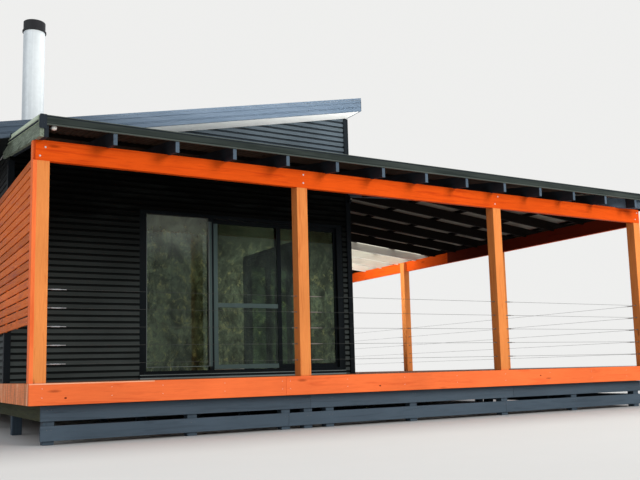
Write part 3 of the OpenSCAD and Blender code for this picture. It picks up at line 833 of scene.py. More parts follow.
def prism(outline: Sequence[Point], along: Vector) -> Solid:
    """Makes a solid from a closed outline pushed along a direction.

    Args:
        outline: points in one plane.
        along: the direction and length.

    Returns:
        The solid, with its faces turned outwards.
    """
    part = bmesh.new()
    face = part.faces.new([part.verts.new(p) for p in outline])
    moved = bmesh.ops.extrude_face_region(part, geom=[face])["geom"]
    bmesh.ops.translate(part, vec=along,
                        verts=[v for v in moved if isinstance(v, bmesh.types.BMVert)])
    bmesh.ops.recalc_face_normals(part, faces=part.faces)
    return part


def pushed(shape: Iterable[Pair], axis: Axis, ends: Pair, lift: float = 0.0) -> Solid:
    """Makes a solid from an upright outline pushed along X or Y.

    Args:
        shape: pairs of a place on the other level axis and a height.
        axis: the axis, X or Y.
        ends: where the solid starts and ends on it.
        lift: how far it rises from start to end.

    Returns:
        The solid.
    """
    start, end = ends
    if axis is Axis.X:
        return prism([(start, y, z) for y, z in shape], Vector((end - start, 0, lift)))
    return prism([(x, start, z) for x, z in shape], Vector((0, end - start, lift)))


def split(part: Solid, point: Point, normal: Point, clear: bool = False) -> dict[str, list]:
    """Divides a solid's faces with a plane, and may drop what lies on the normal's side."""
    return bmesh.ops.bisect_plane(part, geom=[*part.verts, *part.edges, *part.faces],
                                  plane_co=point, plane_no=normal, clear_outer=clear)


def cut(part: Solid, point: Point, normal: Point) -> None:
    """Cuts a solid with a plane, drops what lies on the normal's side and closes the cut.

    Args:
        part: the solid.
        point: a point of the plane.
        normal: the plane's normal.
    """
    found = split(part, point, normal, True)["geom_cut"]
    rim = [e for e in found if isinstance(e, bmesh.types.BMEdge)]
    if rim:
        bmesh.ops.holes_fill(part, edges=rim)


def corrugated(origin: Point, across: Point, up: Vector, width: float, run: float,
               thick: float, flat: float = 0.0) -> Solid:
    """Makes a corrugated roof sheet as a closed solid that follows one slope.

    Args:
        origin: the crest line's start at the low corner.
        across: direction across the ribs.
        up: direction up the slope, along the ribs.
        width: size across the ribs.
        run: size along the ribs.
        thick: the sheet's thickness.
        flat: depth of a flat lining below, or 0 for a thin sheet.

    Returns:
        The solid.
    """
    across, origin = Vector(across), Vector(origin)
    down = up.cross(across)
    if down.z > 0:
        down = -down
    count = math.ceil(width / RIB_PITCH * RIB_STEPS)
    places = [width * i / count for i in range(count + 1)]
    top = [origin + across * d + down * (RIB_DEPTH / 2 * (1 - math.cos(math.tau * d / RIB_PITCH)))
           for d in places]
    if flat:
        low = [origin + across * width + down * flat, origin + down * flat]
    else:
        low = [p + down * thick for p in reversed(top)]
    return prism([*top, *low], up * run)


def islands(bm: Solid) -> list[list[bmesh.types.BMVert]]:
    """Gives the vertices of each separate solid, in order of place.

    Args:
        bm: the mesh.

    Returns:
        A list of vertices for each solid.
    """
    left, found = set(bm.verts), []
    for start in bm.verts:
        if start not in left:
            continue
        left.discard(start)
        group, queue = [start], [start]
        while queue:
            for edge in queue.pop().link_edges:
                for vert in edge.verts:
                    if vert in left:
                        left.discard(vert)
                        group.append(vert)
                        queue.append(vert)
        found.append(group)
    return sorted(found, key=lambda g: tuple(round(min(v.co[i] for v in g), 4) for i in range(3)))


def copied(node: str, finish: str, seed: int, width: float = 0.002, segments: int = 1,
           body: str = HOUSE, other: str = "", second: Callable[[Vector], bool] | None = None,
           without: Callable[[Vector], bool] | None = None,
           paint: Callable[[Vector, Vector], bool] | None = None,
           cuts: Sequence[tuple[Axis, float]] = ()) -> None:
    """Makes a piece from a CAD node's solids, with eased edges and a tone for each solid.

    Args:
        node: the CAD node.
        finish: the piece's finish.
        seed: start of its random tones.
        width: how far the edges are eased.
        segments: faces for each eased edge.
        body: the body that it rides on.
        other: the other finish.
        second: tells from a solid's middle whether it has the other finish.
        without: tells from a solid's middle whether it is left out.
        paint: tells from a face's middle and normal whether it has the other finish.
        cuts: axes and places at which the solids' faces are divided.
    """
    piece = Piece(node + "_dressed", finish, *([other] if other else []), seed=seed)
    whole = bmesh.new()
    whole.from_mesh(bpy.data.objects[node].data)
    bmesh.ops.remove_doubles(whole, verts=whole.verts, dist=1e-5)
    bmesh.ops.dissolve_limit(whole, angle_limit=math.radians(1), verts=whole.verts,
                             edges=whole.edges)
    for island in islands(whole):
        middle = sum((v.co for v in island), Vector()) / len(island) + CENTRE
        if without and without(middle):
            continue
        part = bmesh.new()
        mapping = {v: part.verts.new(v.co) for v in island}
        # A set would give the faces in another order on each run
        for face in dict.fromkeys(f for v in island for f in v.link_faces):
            part.faces.new([mapping[v] for v in face.verts])
        bmesh.ops.recalc_face_normals(part, faces=part.faces)
        eased(part, width, segments)
        for axis, place in cuts:
            normal = Vector([float(axis is each) for each in Axis])
            split(part, normal * place - CENTRE, normal)
        part.normal_update()
        for face in part.faces if paint else ():
            face.material_index = int(paint(face.calc_center_median() + CENTRE, face.normal))
        piece.take(part, int(bool(second and second(middle))))
    whole.free()
    piece.done(body, [node], shift=False)


def refinished(node: str, finish: str) -> None:
    """Gives a CAD node that stays as it is a finish.

    Args:
        node: the CAD node.
        finish: its finish.
    """
    materials = bpy.data.objects[node].data.materials
    materials.clear()
    materials.append(material(finish))


@dataclass
class SubFloor:
    """Stumps, bearers, joists and the painted base boards round them."""

    inset: float = 0.150
    board_t: float = 0.030
    rows: tuple[Pair, ...] = ((0.043, 0.203), (0.251, 0.415))
    joints: tuple[Pair, ...] = ((3.119, 6.72), (3.435, 6.88))
    # The stumps' middles, each with a pair of screws so far apart and so far below a board's top
    stumps_x: tuple[float, ...] = (0.24, 1.86, 3.09, 3.41, 3.73, 5.06, 6.72, 8.17, 9.62)
    screws: Pair = (-0.022, 0.022)
    screw_drop: float = 0.045

    def build(self) -> None:
        """Builds every piece of the sub-floor."""
        copied("stumps", "base_paint_z", 3, 0.004)
        copied("bearers", "raw_timber_x", 4, 0.003)
        copied("joists", "raw_timber_y", 5, 0.003)
        self.front_boards()
        # The left side's boards are painted darker and greener
        copied("base_boards_sides", "base_paint_y", 7, 0.003,
               other="mossy_paint_y", second=lambda m: m.x < 1.0)

    def front_boards(self) -> None:
        """Builds the front boards, cut to length over the stumps and screwed to them."""
        piece = Piece("base_boards_front_dressed", "base_paint_x", "dull_zinc", seed=6)
        y = self.inset
        for (low, high), joints in zip(self.rows, self.joints):
            ends = [self.inset, *joints, PLAN.deck_l - self.inset]
            for left, right in zip(ends, ends[1:]):
                piece.box((left + HAIR, y, low), (right - HAIR, y + self.board_t, high), 0.003, 2)
            for x in self.stumps_x:
                for shift in self.screws:
                    piece.screw((x + shift, y, high - self.screw_drop), FRONT, 0.0032, 10, 1)
        piece.done(replaces=["base_boards_front"])


@dataclass
class Deck:
    """Deck boards in rows along the front, the stained fascia boards and the house's floor."""

    board: float = 0.090
    gap: float = 0.0042
    joist: float = 0.450
    first_joist: float = 0.2025
    shortest: float = 0.8
    # Joist bays before a row's first joint, added from row to row, and in a whole board
    bays: tuple[int, int, int] = (5, 3, 10)
    # Half the gap at the joints of the boards and of the front fascia
    butts: Pair = (0.0008, 0.0002)
    fascia_joint: float = 3.016
    # How far from the left the front fascia's top arris is painted with a pale highlight, and the
    # highlight's depth
    worn: Pair = (1.35, 0.012)
    screws_x: tuple[float, ...] = (0.134, 0.868, 1.445, 2.2, 2.96, 3.07, 3.9, 4.8, 5.7, 6.6, 7.5,
                                   8.4, 9.2, 9.76)
    # How far the screws are above the fascia's lower edge and below its top
    screws_z: Pair = (0.080, 0.056)
    knots: tuple[Pair, ...] = ((0.375, 0.496), (4.4, 0.50), (7.3, 0.56))

    def build(self) -> None:
        """Builds every piece of the deck."""
        self.boards()
        self.front_fascia()
        # The fascia's left return gets pale stripes of painted sunlight over its stain
        copied("deck_fascia_sides", "fascia_stain_y", 12, 0.004, 2,
               other="fascia_weathered", second=lambda m: m.x < 1.0)
        copied("house_floor", "floor_varnish_x", 13)

    def boards(self) -> None:
        """Lays the rows of boards, cut to fit at the front wall and at the rear."""
        piece = Piece("deck_boards", "deck_stain_x", "bolt_zinc", seed=10)
        y, row, rear = PLAN.fascia_t + HAIR, 0, PLAN.deck_d - PLAN.fascia_t
        while y < rear - 0.02:
            depth = min(self.board, rear - HAIR - y)
            if y < PLAN.wall_y < y + depth:
                depth = PLAN.wall_y - y - HAIR
            self.row_of_boards(piece, y, depth, row)
            y += depth + (self.gap if depth == self.board else 2 * HAIR)
            row += 1
        piece.done(replaces=["deck_floor"])

    def row_of_boards(self, piece: Piece, y: float, depth: float, row: int) -> None:
        """Lays one row, with its joints over joists and staggered from row to row.

        Args:
            piece: the deck boards.
            y: the row's front.
            depth: the boards' width.
            row: the row's number.
        """
        start = PLAN.fascia_t if y < PLAN.wall_y else PLAN.house_r + 2 * HAIR
        end = PLAN.deck_l - PLAN.fascia_t - HAIR
        first, stagger, whole = self.bays
        joint = self.first_joist + self.joist * (first + stagger * (row % 4))
        cuts = [start + HAIR]
        while joint < end - self.shortest:
            if joint > start + self.shortest:
                cuts.append(joint)
            joint += self.joist * whole
        cuts.append(end)
        for left, right in zip(cuts, cuts[1:]):
            piece.box((left + self.butts[0], y, PLAN.deck_z - PLAN.floor_t),
                      (right - self.butts[0], y + depth, PLAN.deck_z))

    def front_fascia(self) -> None:
        """Builds the two front boards, butted at their joint, with screws and a few knots."""
        piece = Piece("deck_fascia_front_dressed", "fascia_stain_x", "bolt_zinc", "beam_shade_x",
                      "worn_stain_x", seed=11)
        low, high = PLAN.deck_z - PLAN.fascia_h, PLAN.deck_z
        highlight_x, highlight_z = self.worn[0], high - self.worn[1]
        for left, right in ((0.0, self.fascia_joint), (self.fascia_joint, PLAN.deck_l)):
            part = solid_box((left + self.butts[1], 0.0, low),
                             (right - self.butts[1], PLAN.fascia_t, high), 0.004, 2)
            split(part, (0, 0, highlight_z), (0, 0, 1))
            split(part, (highlight_x, 0, 0), (1, 0, 0))
            part.normal_update()
            for face in part.faces:
                middle = face.calc_center_median()
                # Front faces along the top arris left of highlight_x get the painted highlight
                if face.normal.y < -0.2 and middle.x < highlight_x and middle.z > highlight_z:
                    face.material_index = 3
            piece.take(part)
        for x in self.screws_x:
            for z in (low + self.screws_z[0], high - self.screws_z[1]):
                piece.screw((x, 0.0, z), FRONT, 0.0035, 12, 1)
        for x, z in self.knots:
            knot = solid_rod((x, 0.004, z), (x, -0.0003, z), 0.009, 20)
            bmesh.ops.scale(knot, vec=(1.5, 1, 1), space=Matrix.Translation((-x, 0, -z)),
                            verts=knot.verts)
            piece.take(knot, 2)
        piece.done(replaces=["deck_fascia_front"])


@dataclass
class Frame:
    """Posts and beams with their bolts."""

    # The front bolts' X and Z, and the Y of the side's pairs of bolts with their heights
    bolts: tuple[Pair, ...] = (
        (0.129, 3.206), (0.073, 3.105), (3.334, 3.227), (3.331, 3.118), (6.662, 3.234),
        (6.599, 3.117), (9.780, 3.225), (9.735, 3.115))
    side_bolts: tuple[Pair, ...] = ((3.34, 3.41), (6.62, 6.69), (9.90, 9.97))
    side_bolts_z: Pair = (3.175, 3.075)
    face: float = 0.025
    # Where the painted shade on the side beam's inner face ends and its daylit stain begins
    lit: float = 5.040

    def build(self) -> None:
        """Builds the posts, the beams and the bolts."""
        posts = ("corner_post_left", "front_posts", "corner_post_right", "side_posts")
        for seed, node in enumerate(posts, 20):
            copied(node, "post_stain_z", seed, 0.005, 2)
        copied("front_beam", "beam_stain_x", 26, 0.004, 2)
        # The side beam's inner face in front of lit gets beam_shade, a painted shade
        copied("side_beam", "beam_stain_y", 27, 0.004, 2, other="beam_shade_y",
               cuts=((Axis.Y, self.lit),), paint=lambda m, n: n.x < -0.7 and m.y < self.lit)
        piece = Piece("beam_bolts", "bolt_zinc", seed=28)
        for x, z in self.bolts:
            self.bolt(piece, Vector((x, self.face, z)), FRONT)
        for pair in self.side_bolts:
            for y, z in zip(pair, self.side_bolts_z):
                self.bolt(piece, Vector((PLAN.deck_l - self.face, y, z)), Vector((1, 0, 0)))
        piece.done()

    @staticmethod
    def bolt(piece: Piece, place: Vector, out: Vector) -> None:
        """Adds a washer with a bolt head."""
        piece.rod(place - out * 0.002, place + out * 0.002, 0.011, 24, 0.0005)
        piece.rod(place + out * 0.001, place + out * 0.008, 0.007, 6, 0.001)


@dataclass
class VerandahRoof:
    """Rafters, battens, sheets and flashings of the front and side roofs."""

    steel: float = 0.0012
    clear: float = 0.0016
    # Lengths of the front sheets up the slope and of the hip's covers on plan
    front_run: float = 3.35
    hip_run: float = 3.07
    # Left of this a rafter is painted dark on every side; right of it, its faces that don't face the
    # front are painted shade
    end_rafter: float = 0.15
    # Depth of the underside of the barge board and of its top below the roof's top
    barge: Pair = (0.222, 0.061)
    barge_end: float = 2.22
    # The front flashing's fold: how far behind its face and below its top
    fold: tuple[Pair, ...] = (
        (0.020, 0.0), (0.007, 0.0), (0.003, 0.003), (0.003, 0.010), (0.011, 0.013),
        (0.011, 0.021), (0.002, 0.024), (0.004, 0.056), (0.002, 0.086), (0.009, 0.089),
        (0.001, 0.097), (0.0, 0.106), (0.004, 0.110), (0.020, 0.110))
    # Depths in the fold above which the lip is painted with a highlight, and then a band of painted
    # shadow, and below which the lower lip is painted with a highlight
    lips: tuple[float, float, float] = (0.010, 0.025, 0.088)
    # The same for the side flashing, and for the end cap from its left edge
    side_fold: tuple[Pair, ...] = (
        (0.008, 0.0), (0.002, 0.004), (0.002, 0.109), (0.0, 0.113), (0.0, 0.141),
        (0.004, 0.153), (0.020, 0.153), (0.020, 0.0))
    end_cap: tuple[Pair, ...] = (
        (0.010, 0.150), (0.090, 0.156), (0.090, -0.002), (0.024, -0.004), (0.010, 0.030))
    cap_screws: tuple[Pair, ...] = ((0.012, 0.012), (0.060, 0.012), (0.012, 0.130), (0.060, 0.090))
    # The left and the rear flashing: how far behind their face and above the roof's top
    left_cap: tuple[Pair, ...] = (
        (0.020, 0.012), (0.004, 0.012), (0.0, 0.008), (0.0, -0.032), (0.010, -0.036),
        (0.010, -0.062), (0.020, -0.062))
    rear_cap: tuple[Pair, ...] = (
        (0.019, 0.012), (0.004, 0.012), (0.0, 0.008), (0.0, -0.050), (0.006, -0.062),
        (0.019, -0.062))
    # Where the front roof's hip ends on plan, and the width and thickness of the joint covers
    hip_end: float = 3.2
    side_start: float = 2.96
    cover: float = 0.12
    cover_t: float = 0.0015

    def build(self) -> None:
        """Builds every piece of the verandah's roof."""
        copied("hip_rafter", "rafter_paint_x", 30)
        # Front rafter faces that don't face the front are painted shade; the end rafter is dark all
        # round
        copied("front_rafters", "rafter_paint_y", 31, other="rafter_side_y",
               paint=lambda m, n: n.y > -0.7 or m.x < self.end_rafter)
        # Side rafters under the clear sheets get the pale paint as painted light from the daylight
        # through the sheets; the rest keep their dark stain
        copied("side_rafters", "dark_stain_x", 32, other="pale_paint_x",
               second=lambda m: PLAN.clear_f < m.y < PLAN.clear_b + 0.1)
        copied("roof_battens", "dark_stain_x", 33, other="dark_stain_y",
               second=lambda m: m.x > 5.2 and m.y > 2.4)
        copied("barge_boards", "barge_paint_y", 34)
        self.barge_return()
        self.front_sheet()
        self.side_sheets()
        self.edges()
        self.joint_covers()

    def barge_return(self) -> None:
        """Builds the board that carries the left barge on along the house's side."""
        piece = Piece("barge_return", "barge_paint_y", seed=84)
        left, right, start = PLAN.roof_l + 0.0001, PLAN.house_l - 0.0005, PLAN.wall_y + HAIR
        low, top = (PLAN.front_top(start) - depth for depth in self.barge)
        lift = (self.barge_end - start) * math.tan(PLAN.front_pitch)
        piece.run([(left, top), (right, top), (right, low), (left, low)], Axis.Y,
                  (start, self.barge_end), lift, bevel=0.002)
        piece.done()

    def hip(self) -> tuple[Vector, Vector]:
        """Gives a point of the hip on plan, and the level direction to the right of it.

        Returns:
            The point and the direction.
        """
        low, high = (Vector((PLAN.hip_x(y), y, 0)) for y in (PLAN.roof_f, self.hip_end))
        along = (high - low).normalized()
        return low, Vector((along.y, -along.x, 0))

    @staticmethod
    def turn_underside(part: Solid) -> None:
        """Gives the faces that look down the underside's finish.

        Args:
            part: the sheet.
        """
        for face in part.faces:
            if face.normal.z < -0.3:
                face.material_index = 1

    def front_sheet(self) -> None:
        """Builds the front roof's sheets up to the hip and the wall."""
        piece = Piece("front_roof_sheets", "verandah_steel", "front_underside", seed=35)
        slope = Vector((0, math.cos(PLAN.front_pitch), math.sin(PLAN.front_pitch)))
        part = corrugated((PLAN.roof_l, PLAN.roof_f, PLAN.roof_z), (1, 0, 0), slope,
                          PLAN.hip_x(PLAN.roof_f) - PLAN.roof_l, self.front_run, self.steel)
        cut(part, *self.hip())
        beside = part.copy()
        cut(part, (0, PLAN.wall_y, 0), (0, 1, 0))
        cut(beside, (PLAN.house_r, 0, 0), (-1, 0, 0))
        cut(beside, (0, PLAN.wall_y, 0), (0, -1, 0))
        for half in (part, beside):
            self.turn_underside(half)
            piece.take(half, 0, 0.2)
        piece.done(replaces=["front_roof_sheet"], smooth=True)

    def side_sheets(self) -> None:
        """Builds the side roof's steel and clear sheets."""
        slope = Vector((-math.cos(PLAN.side_pitch), 0, math.sin(PLAN.side_pitch)))
        run = (PLAN.roof_r - PLAN.house_r) / math.cos(PLAN.side_pitch)
        hip, right = self.hip()
        piece = Piece("side_roof_sheets", "verandah_steel", "side_underside", seed=36)
        for start, end in ((PLAN.roof_f, PLAN.clear_f), (PLAN.clear_b, PLAN.roof_b)):
            part = corrugated((PLAN.roof_r, start, PLAN.side_roof_z), (0, 1, 0), slope,
                              end - start, run, self.steel)
            if start == PLAN.roof_f:
                cut(part, hip, -right)
            self.turn_underside(part)
            piece.take(part, 0, 0.2)
        piece.done(replaces=["side_roof_sheet"], smooth=True)
        piece = Piece("clear_roof_sheets", "clear_sheet", seed=37)
        start, end = PLAN.clear_f + 2 * HAIR, PLAN.clear_b - 2 * HAIR
        piece.take(corrugated((PLAN.roof_r, start, PLAN.side_roof_z), (0, 1, 0), slope,
                              end - start, run, self.clear), 0, 0.5)
        piece.done(replaces=["clear_roof_sheet"], smooth=True)

    def edges(self) -> None:
        """Builds the folded flashings along the outer edges, with their end cap."""
        piece = Piece("roof_edge_flashings", "edge_steel", "pale_edge_steel", "dull_zinc",
                      "rafter_side_z", "lip_steel", seed=38)
        top, face = PLAN.edge_top, PLAN.roof_f - PLAN.edge_t
        left, right = PLAN.roof_l - PLAN.edge_t, PLAN.roof_r + PLAN.edge_t
        part = pushed([(face + y, top - d) for y, d in self.fold], Axis.X, (left + 0.018, right))
        lip, shadow, low_lip = self.lips
        # The lips get painted highlights, and the band under the top lip gets a painted shadow
        for each in part.faces:
            depth = top - each.calc_center_median().z
            if abs(each.normal.x) < 0.5 and (depth < lip or depth > low_lip):
                each.material_index = 4
            elif abs(each.normal.x) < 0.5 and depth < shadow:
                each.material_index = 3
        piece.take(part, 0, 0.3)
        piece.run([(left + x, top - d) for x, d in self.end_cap], Axis.Y, (face, face + 0.0018),
                  finish=3, bevel=0.0005)
        piece.run([(right - x, top - d) for x, d in self.side_fold], Axis.Y,
                  (PLAN.roof_f + HAIR, PLAN.roof_b), tone=0.6)
        self.barge_caps(piece)
        for x, d in self.cap_screws:
            piece.screw((left + x, face, top - d), FRONT, 0.003, 10, 2, HAIR, 0.0)
        piece.done(replaces=["roof_edges"])

    def barge_caps(self, piece: Piece) -> None:
        """Builds the sloping flashings over the left and rear edges.

        Args:
            piece: the flashings.
        """
        face, start = PLAN.roof_l - PLAN.edge_t, PLAN.roof_f + HAIR
        z = PLAN.front_top(start)
        part = pushed([(face + x, z + h) for x, h in self.left_cap], Axis.Y,
                      (start, self.barge_end), PLAN.front_top(self.barge_end) - z)
        # Faces inset in the recess along the cap's lower edge are painted shade; the rest is the
        # pale flashing
        for each in part.faces:
            inset = each.normal.x < -0.7 and each.calc_center_median().x > face + 0.008
            each.material_index = 3 if inset else 1
        piece.take(part, 0, 0.4)
        face, z = PLAN.roof_b + PLAN.edge_t, PLAN.side_top(PLAN.house_r)
        piece.run([(face - y, z + h) for y, h in self.rear_cap], Axis.X,
                  (PLAN.house_r, PLAN.roof_r), PLAN.side_top(PLAN.roof_r) - z)

    def joint_covers(self) -> None:
        """Builds the cover strips over the hip and along the walls."""
        piece = Piece("roof_joint_covers", "verandah_steel", seed=39)
        run, wide, thick = self.hip_run, self.cover, UP * self.cover_t
        start = Vector((PLAN.hip_x(PLAN.roof_f), PLAN.roof_f, PLAN.roof_z + 0.004))
        along = Vector((PLAN.hip_x(PLAN.roof_f + run) - start.x, run,
                        run * math.tan(PLAN.front_pitch)))
        ridge = start + UP * 0.004
        for wing in (start + Vector((-wide, 0, 0)), start + Vector((0, wide, 0))):
            piece.take(prism([wing, ridge, ridge - thick, wing - thick], along), 0, 0.5)
        wall, side = PLAN.wall_y, PLAN.house_r
        for place, out, z, pitch, axis, runs in (
                (wall, -1, PLAN.front_top(wall), PLAN.front_pitch, Axis.X, ((PLAN.house_l, side),)),
                (side, 1, PLAN.side_top(side), PLAN.side_pitch, Axis.Y,
                 ((self.side_start, PLAN.clear_f), (PLAN.clear_b, PLAN.house_rear)))):
            fall = wide * math.tan(pitch)
            shape = [(place + out * d, z + 0.003 + h) for d, h in (
                (wide, -fall), (0.003, 0.0), (0.003, 0.075), (0.001, 0.075), (0.001, -0.002),
                (wide, -fall - self.cover_t))]
            for ends in runs:
                piece.run(shape, axis, ends)
        piece.done()


@dataclass
class Screen:
    """The slatted screen at the left end."""

    first_z: float = 1.280
    slats: int = 18
    step: float = 0.101
    height: float = 0.084
    start: float = 0.1401
    end: float = 3.050
    board: Pair = (0.060, 0.140)
    board_top: float = 3.280
    cover: float = 0.0235
    cover_top: float = 3.054
    battens: tuple[float, ...] = (0.178, 0.960, 1.730, 2.990)
    batten_w: float = 0.045
    screw_in: float = 0.022

    def build(self) -> None:
        """Builds the slats on their battens with two screws at each, and the end boards."""
        piece = Piece("slat_screen_dressed", "screen_stain_y", "screen_stain_z", "bolt_zinc",
                      "board_stain_z", seed=40)
        for i in range(self.slats):
            z = self.first_z + i * self.step
            piece.box((0.0, self.start, z), (0.020, self.end, z + self.height))
            for y in self.battens:
                for high in (self.screw_in, self.height - self.screw_in):
                    piece.screw((0.0, y + self.screw_in, z + high), (-1, 0, 0), 0.003, 8, 2,
                                0.003, 0.001)
        top = self.first_z + (self.slats - 1) * self.step + self.height
        for y in self.battens:
            piece.box((0.0201, y, self.first_z), (0.040, y + self.batten_w, top), 0.002, finish=1)
        front, back = self.board
        for low, high in (((0.0, front), (0.0249, back, self.board_top)),
                          ((0.0, self.cover), (0.044, front - 0.0005, self.cover_top))):
            piece.box((*low, PLAN.deck_z), high, 0.003, 2, finish=3, tone=0.6)
        piece.done(replaces=["slat_screen"])


@dataclass
class Balustrade:
    """Stainless wires with their screwed fittings at the posts."""

    first: float = 0.201
    count: int = 5
    front_y: float = 0.101
    side_x: float = 9.759
    front_faces: tuple[Pair, ...] = ((0.177, 3.232), (3.384, 6.550), (6.702, 9.683))
    side_faces: tuple[Pair, ...] = ((0.177, 3.300), (3.452, 6.580), (6.732, 9.863))
    # Parts of both fittings away from the post: start, end, radius, sides and bevel
    turnbuckle: tuple[tuple[float, float, float, int, float], ...] = (
        (0.0, 0.004, 0.011, 14, 0.001), (0.003, 0.055, 0.0035, 10, 0.0),
        (0.050, 0.062, 0.0065, 6, 0.001), (0.060, 0.150, 0.0075, 14, 0.0015),
        (0.148, 0.160, 0.0065, 6, 0.001), (0.158, 0.215, 0.0042, 12, 0.001))
    stud: tuple[tuple[float, float, float, int, float], ...] = (
        (0.0, 0.004, 0.011, 14, 0.001), (0.003, 0.070, 0.0045, 12, 0.001))

    def build(self) -> None:
        """Builds a turnbuckle at each run's start and a swaged stud at its end."""
        refinished("balustrade_wires", "wire_rope")
        piece = Piece("wire_fittings", "wire_steel", "dull_zinc", seed=45)
        # Front turnbuckles away from the left corner, and every stud, get the dull finish as painted
        # shade
        for level in range(1, self.count + 1):
            z = PLAN.deck_z + self.first * level
            for start, end in self.front_faces:
                self.pair(piece, Vector((start, self.front_y, z)),
                          Vector((end, self.front_y, z)), int(start > 1.0))
            for start, end in self.side_faces:
                self.pair(piece, Vector((self.side_x, start, z)), Vector((self.side_x, end, z)))
        piece.done(smooth=True)

    def pair(self, piece: Piece, start: Vector, end: Vector, finish: int = 0) -> None:
        """Adds the two fittings of one run.

        Args:
            piece: the fittings.
            start: where the run starts.
            end: where it ends.
            finish: which of the piece's finishes the turnbuckle has.
        """
        way = (end - start).normalized()
        for post, out, parts, kind in ((start, way, self.turnbuckle, finish),
                                       (end, -way, self.stud, 1)):
            for near, far, radius, sides, bevel in parts:
                piece.rod(post + out * near, post + out * far, radius, sides, bevel, kind)


@dataclass
class Walls:
    """Walls clad in horizontal corrugated steel, lined inside."""

    pitch: float = 0.0814
    depth: float = 0.016
    # Height of one groove, and the cladding's section from there in shares of pitch and depth
    groove_z: float = 1.7528
    section: tuple[Pair, ...] = ((-0.19, 0.0), (-0.11, 1.0), (0.11, 1.0), (0.19, 0.0),
                                 (0.34, 0.06), (0.50, 0.10), (0.66, 0.06))
    tallest: float = 5.2
    side_window: Pair = (2.900, 5.600)
    high_window: Pair = (7.100, 8.300)
    high_window_z: Pair = (4.055, 4.555)

    def build(self) -> None:
        """Builds the four walls and the corner trims."""
        front, rear, t, tall = PLAN.wall_y, PLAN.house_rear, PLAN.wall_t, self.tallest
        left, right, base, head = PLAN.house_l, PLAN.house_r, PLAN.deck_z, PLAN.head
        door_l, door_r = PLAN.glazing_l, PLAN.glazing_r
        (side_a, side_b), (high_a, high_b) = self.side_window, self.high_window
        sill, lintel = self.high_window_z
        self.wall("front_wall", ["front_wall_left", "front_wall_head", "front_wall_right"], 50,
                  Axis.X, front, [(left, door_l, base, tall), (door_l, door_r, head, tall),
                                  (door_r, right, base, tall)])
        self.wall("rear_wall", ["rear_wall"], 51, Axis.X, rear, [(right, left, base, tall)])
        self.wall("left_wall", ["left_wall"], 52, Axis.Y, left, [(rear - t, front + t, base, tall)])
        self.wall("right_wall", ["right_wall"], 53, Axis.Y, right, [
            (front + t, side_a, base, tall), (side_a, side_b, head, tall),
            (side_b, high_a, base, tall), (high_a, high_b, base, sill),
            (high_a, high_b, lintel, tall), (high_b, rear - t, base, tall)])
        copied("corner_trims", "trim_steel", 54, 0.0015)

    def profile(self, low: float, high: float) -> list[Pair]:
        """Gives the cladding's broad ribs and narrow grooves between two heights.

        Args:
            low: the lower height.
            high: the upper height.

        Returns:
            Pairs of a height above the lower one and a depth.
        """
        length, groove = high - low, (self.groove_z - low) % self.pitch
        first = math.floor(-groove / self.pitch) - 1
        points = [((k + share) * self.pitch + groove, deep * self.depth)
                  for k in range(first, first + math.ceil(length / self.pitch) + 4)
                  for share, deep in self.section]
        inside = [p for p in points if 0.0005 < p[0] < length - 0.0005]
        return [(0.0, inside[0][1]), *inside, (length, inside[-1][1])]

    def wall(self, name: str, nodes: list[str], seed: int, axis: Axis, face: float,
             panels: list[tuple[float, float, float, float]]) -> None:
        """Builds one wall from upright panels, cut off under the main roof.

        Args:
            name: the wall's name.
            nodes: the CAD nodes that it stands for.
            seed: start of its random tones.
            axis: the axis that it runs along.
            face: its outer face's place on the other axis.
            panels: each panel's ends, from left to right seen from outside, and its heights.
        """
        piece = Piece(name + "_clad", "cladding_steel", "room_lining", "cladding_groove", seed=seed)
        roof = Vector((-math.sin(PLAN.main_pitch), 0, math.cos(PLAN.main_pitch)))
        under = (PLAN.house_l, 0, PLAN.main_low - PLAN.main_t - 0.0001)
        for begin, end, low, high in panels:
            start, stop = (Vector((d, face, 0) if axis is Axis.X else (face, d, 0))
                           for d in (begin, end))
            along = stop - start
            side = along.normalized()
            inward = UP.cross(side)
            back = start + inward * PLAN.wall_t
            outer = [start + inward * d + UP * (low + h) for h, d in self.profile(low, high)]
            part = prism([*outer, back + UP * high, back + UP * low], along)
            cut(part, under, roof)
            # Inner faces get the lining, and the faces in the grooves are painted shade
            for each in part.faces:
                deep = (each.calc_center_median() - start).dot(inward)
                if each.normal.dot(inward) > 0.9:
                    each.material_index = 1
                elif self.depth / 4 < deep < self.depth * 2 and abs(each.normal.dot(side)) < 0.5:
                    each.material_index = 2
            piece.take(part, 0, 0.5)
        piece.done(replaces=nodes, smooth=True)


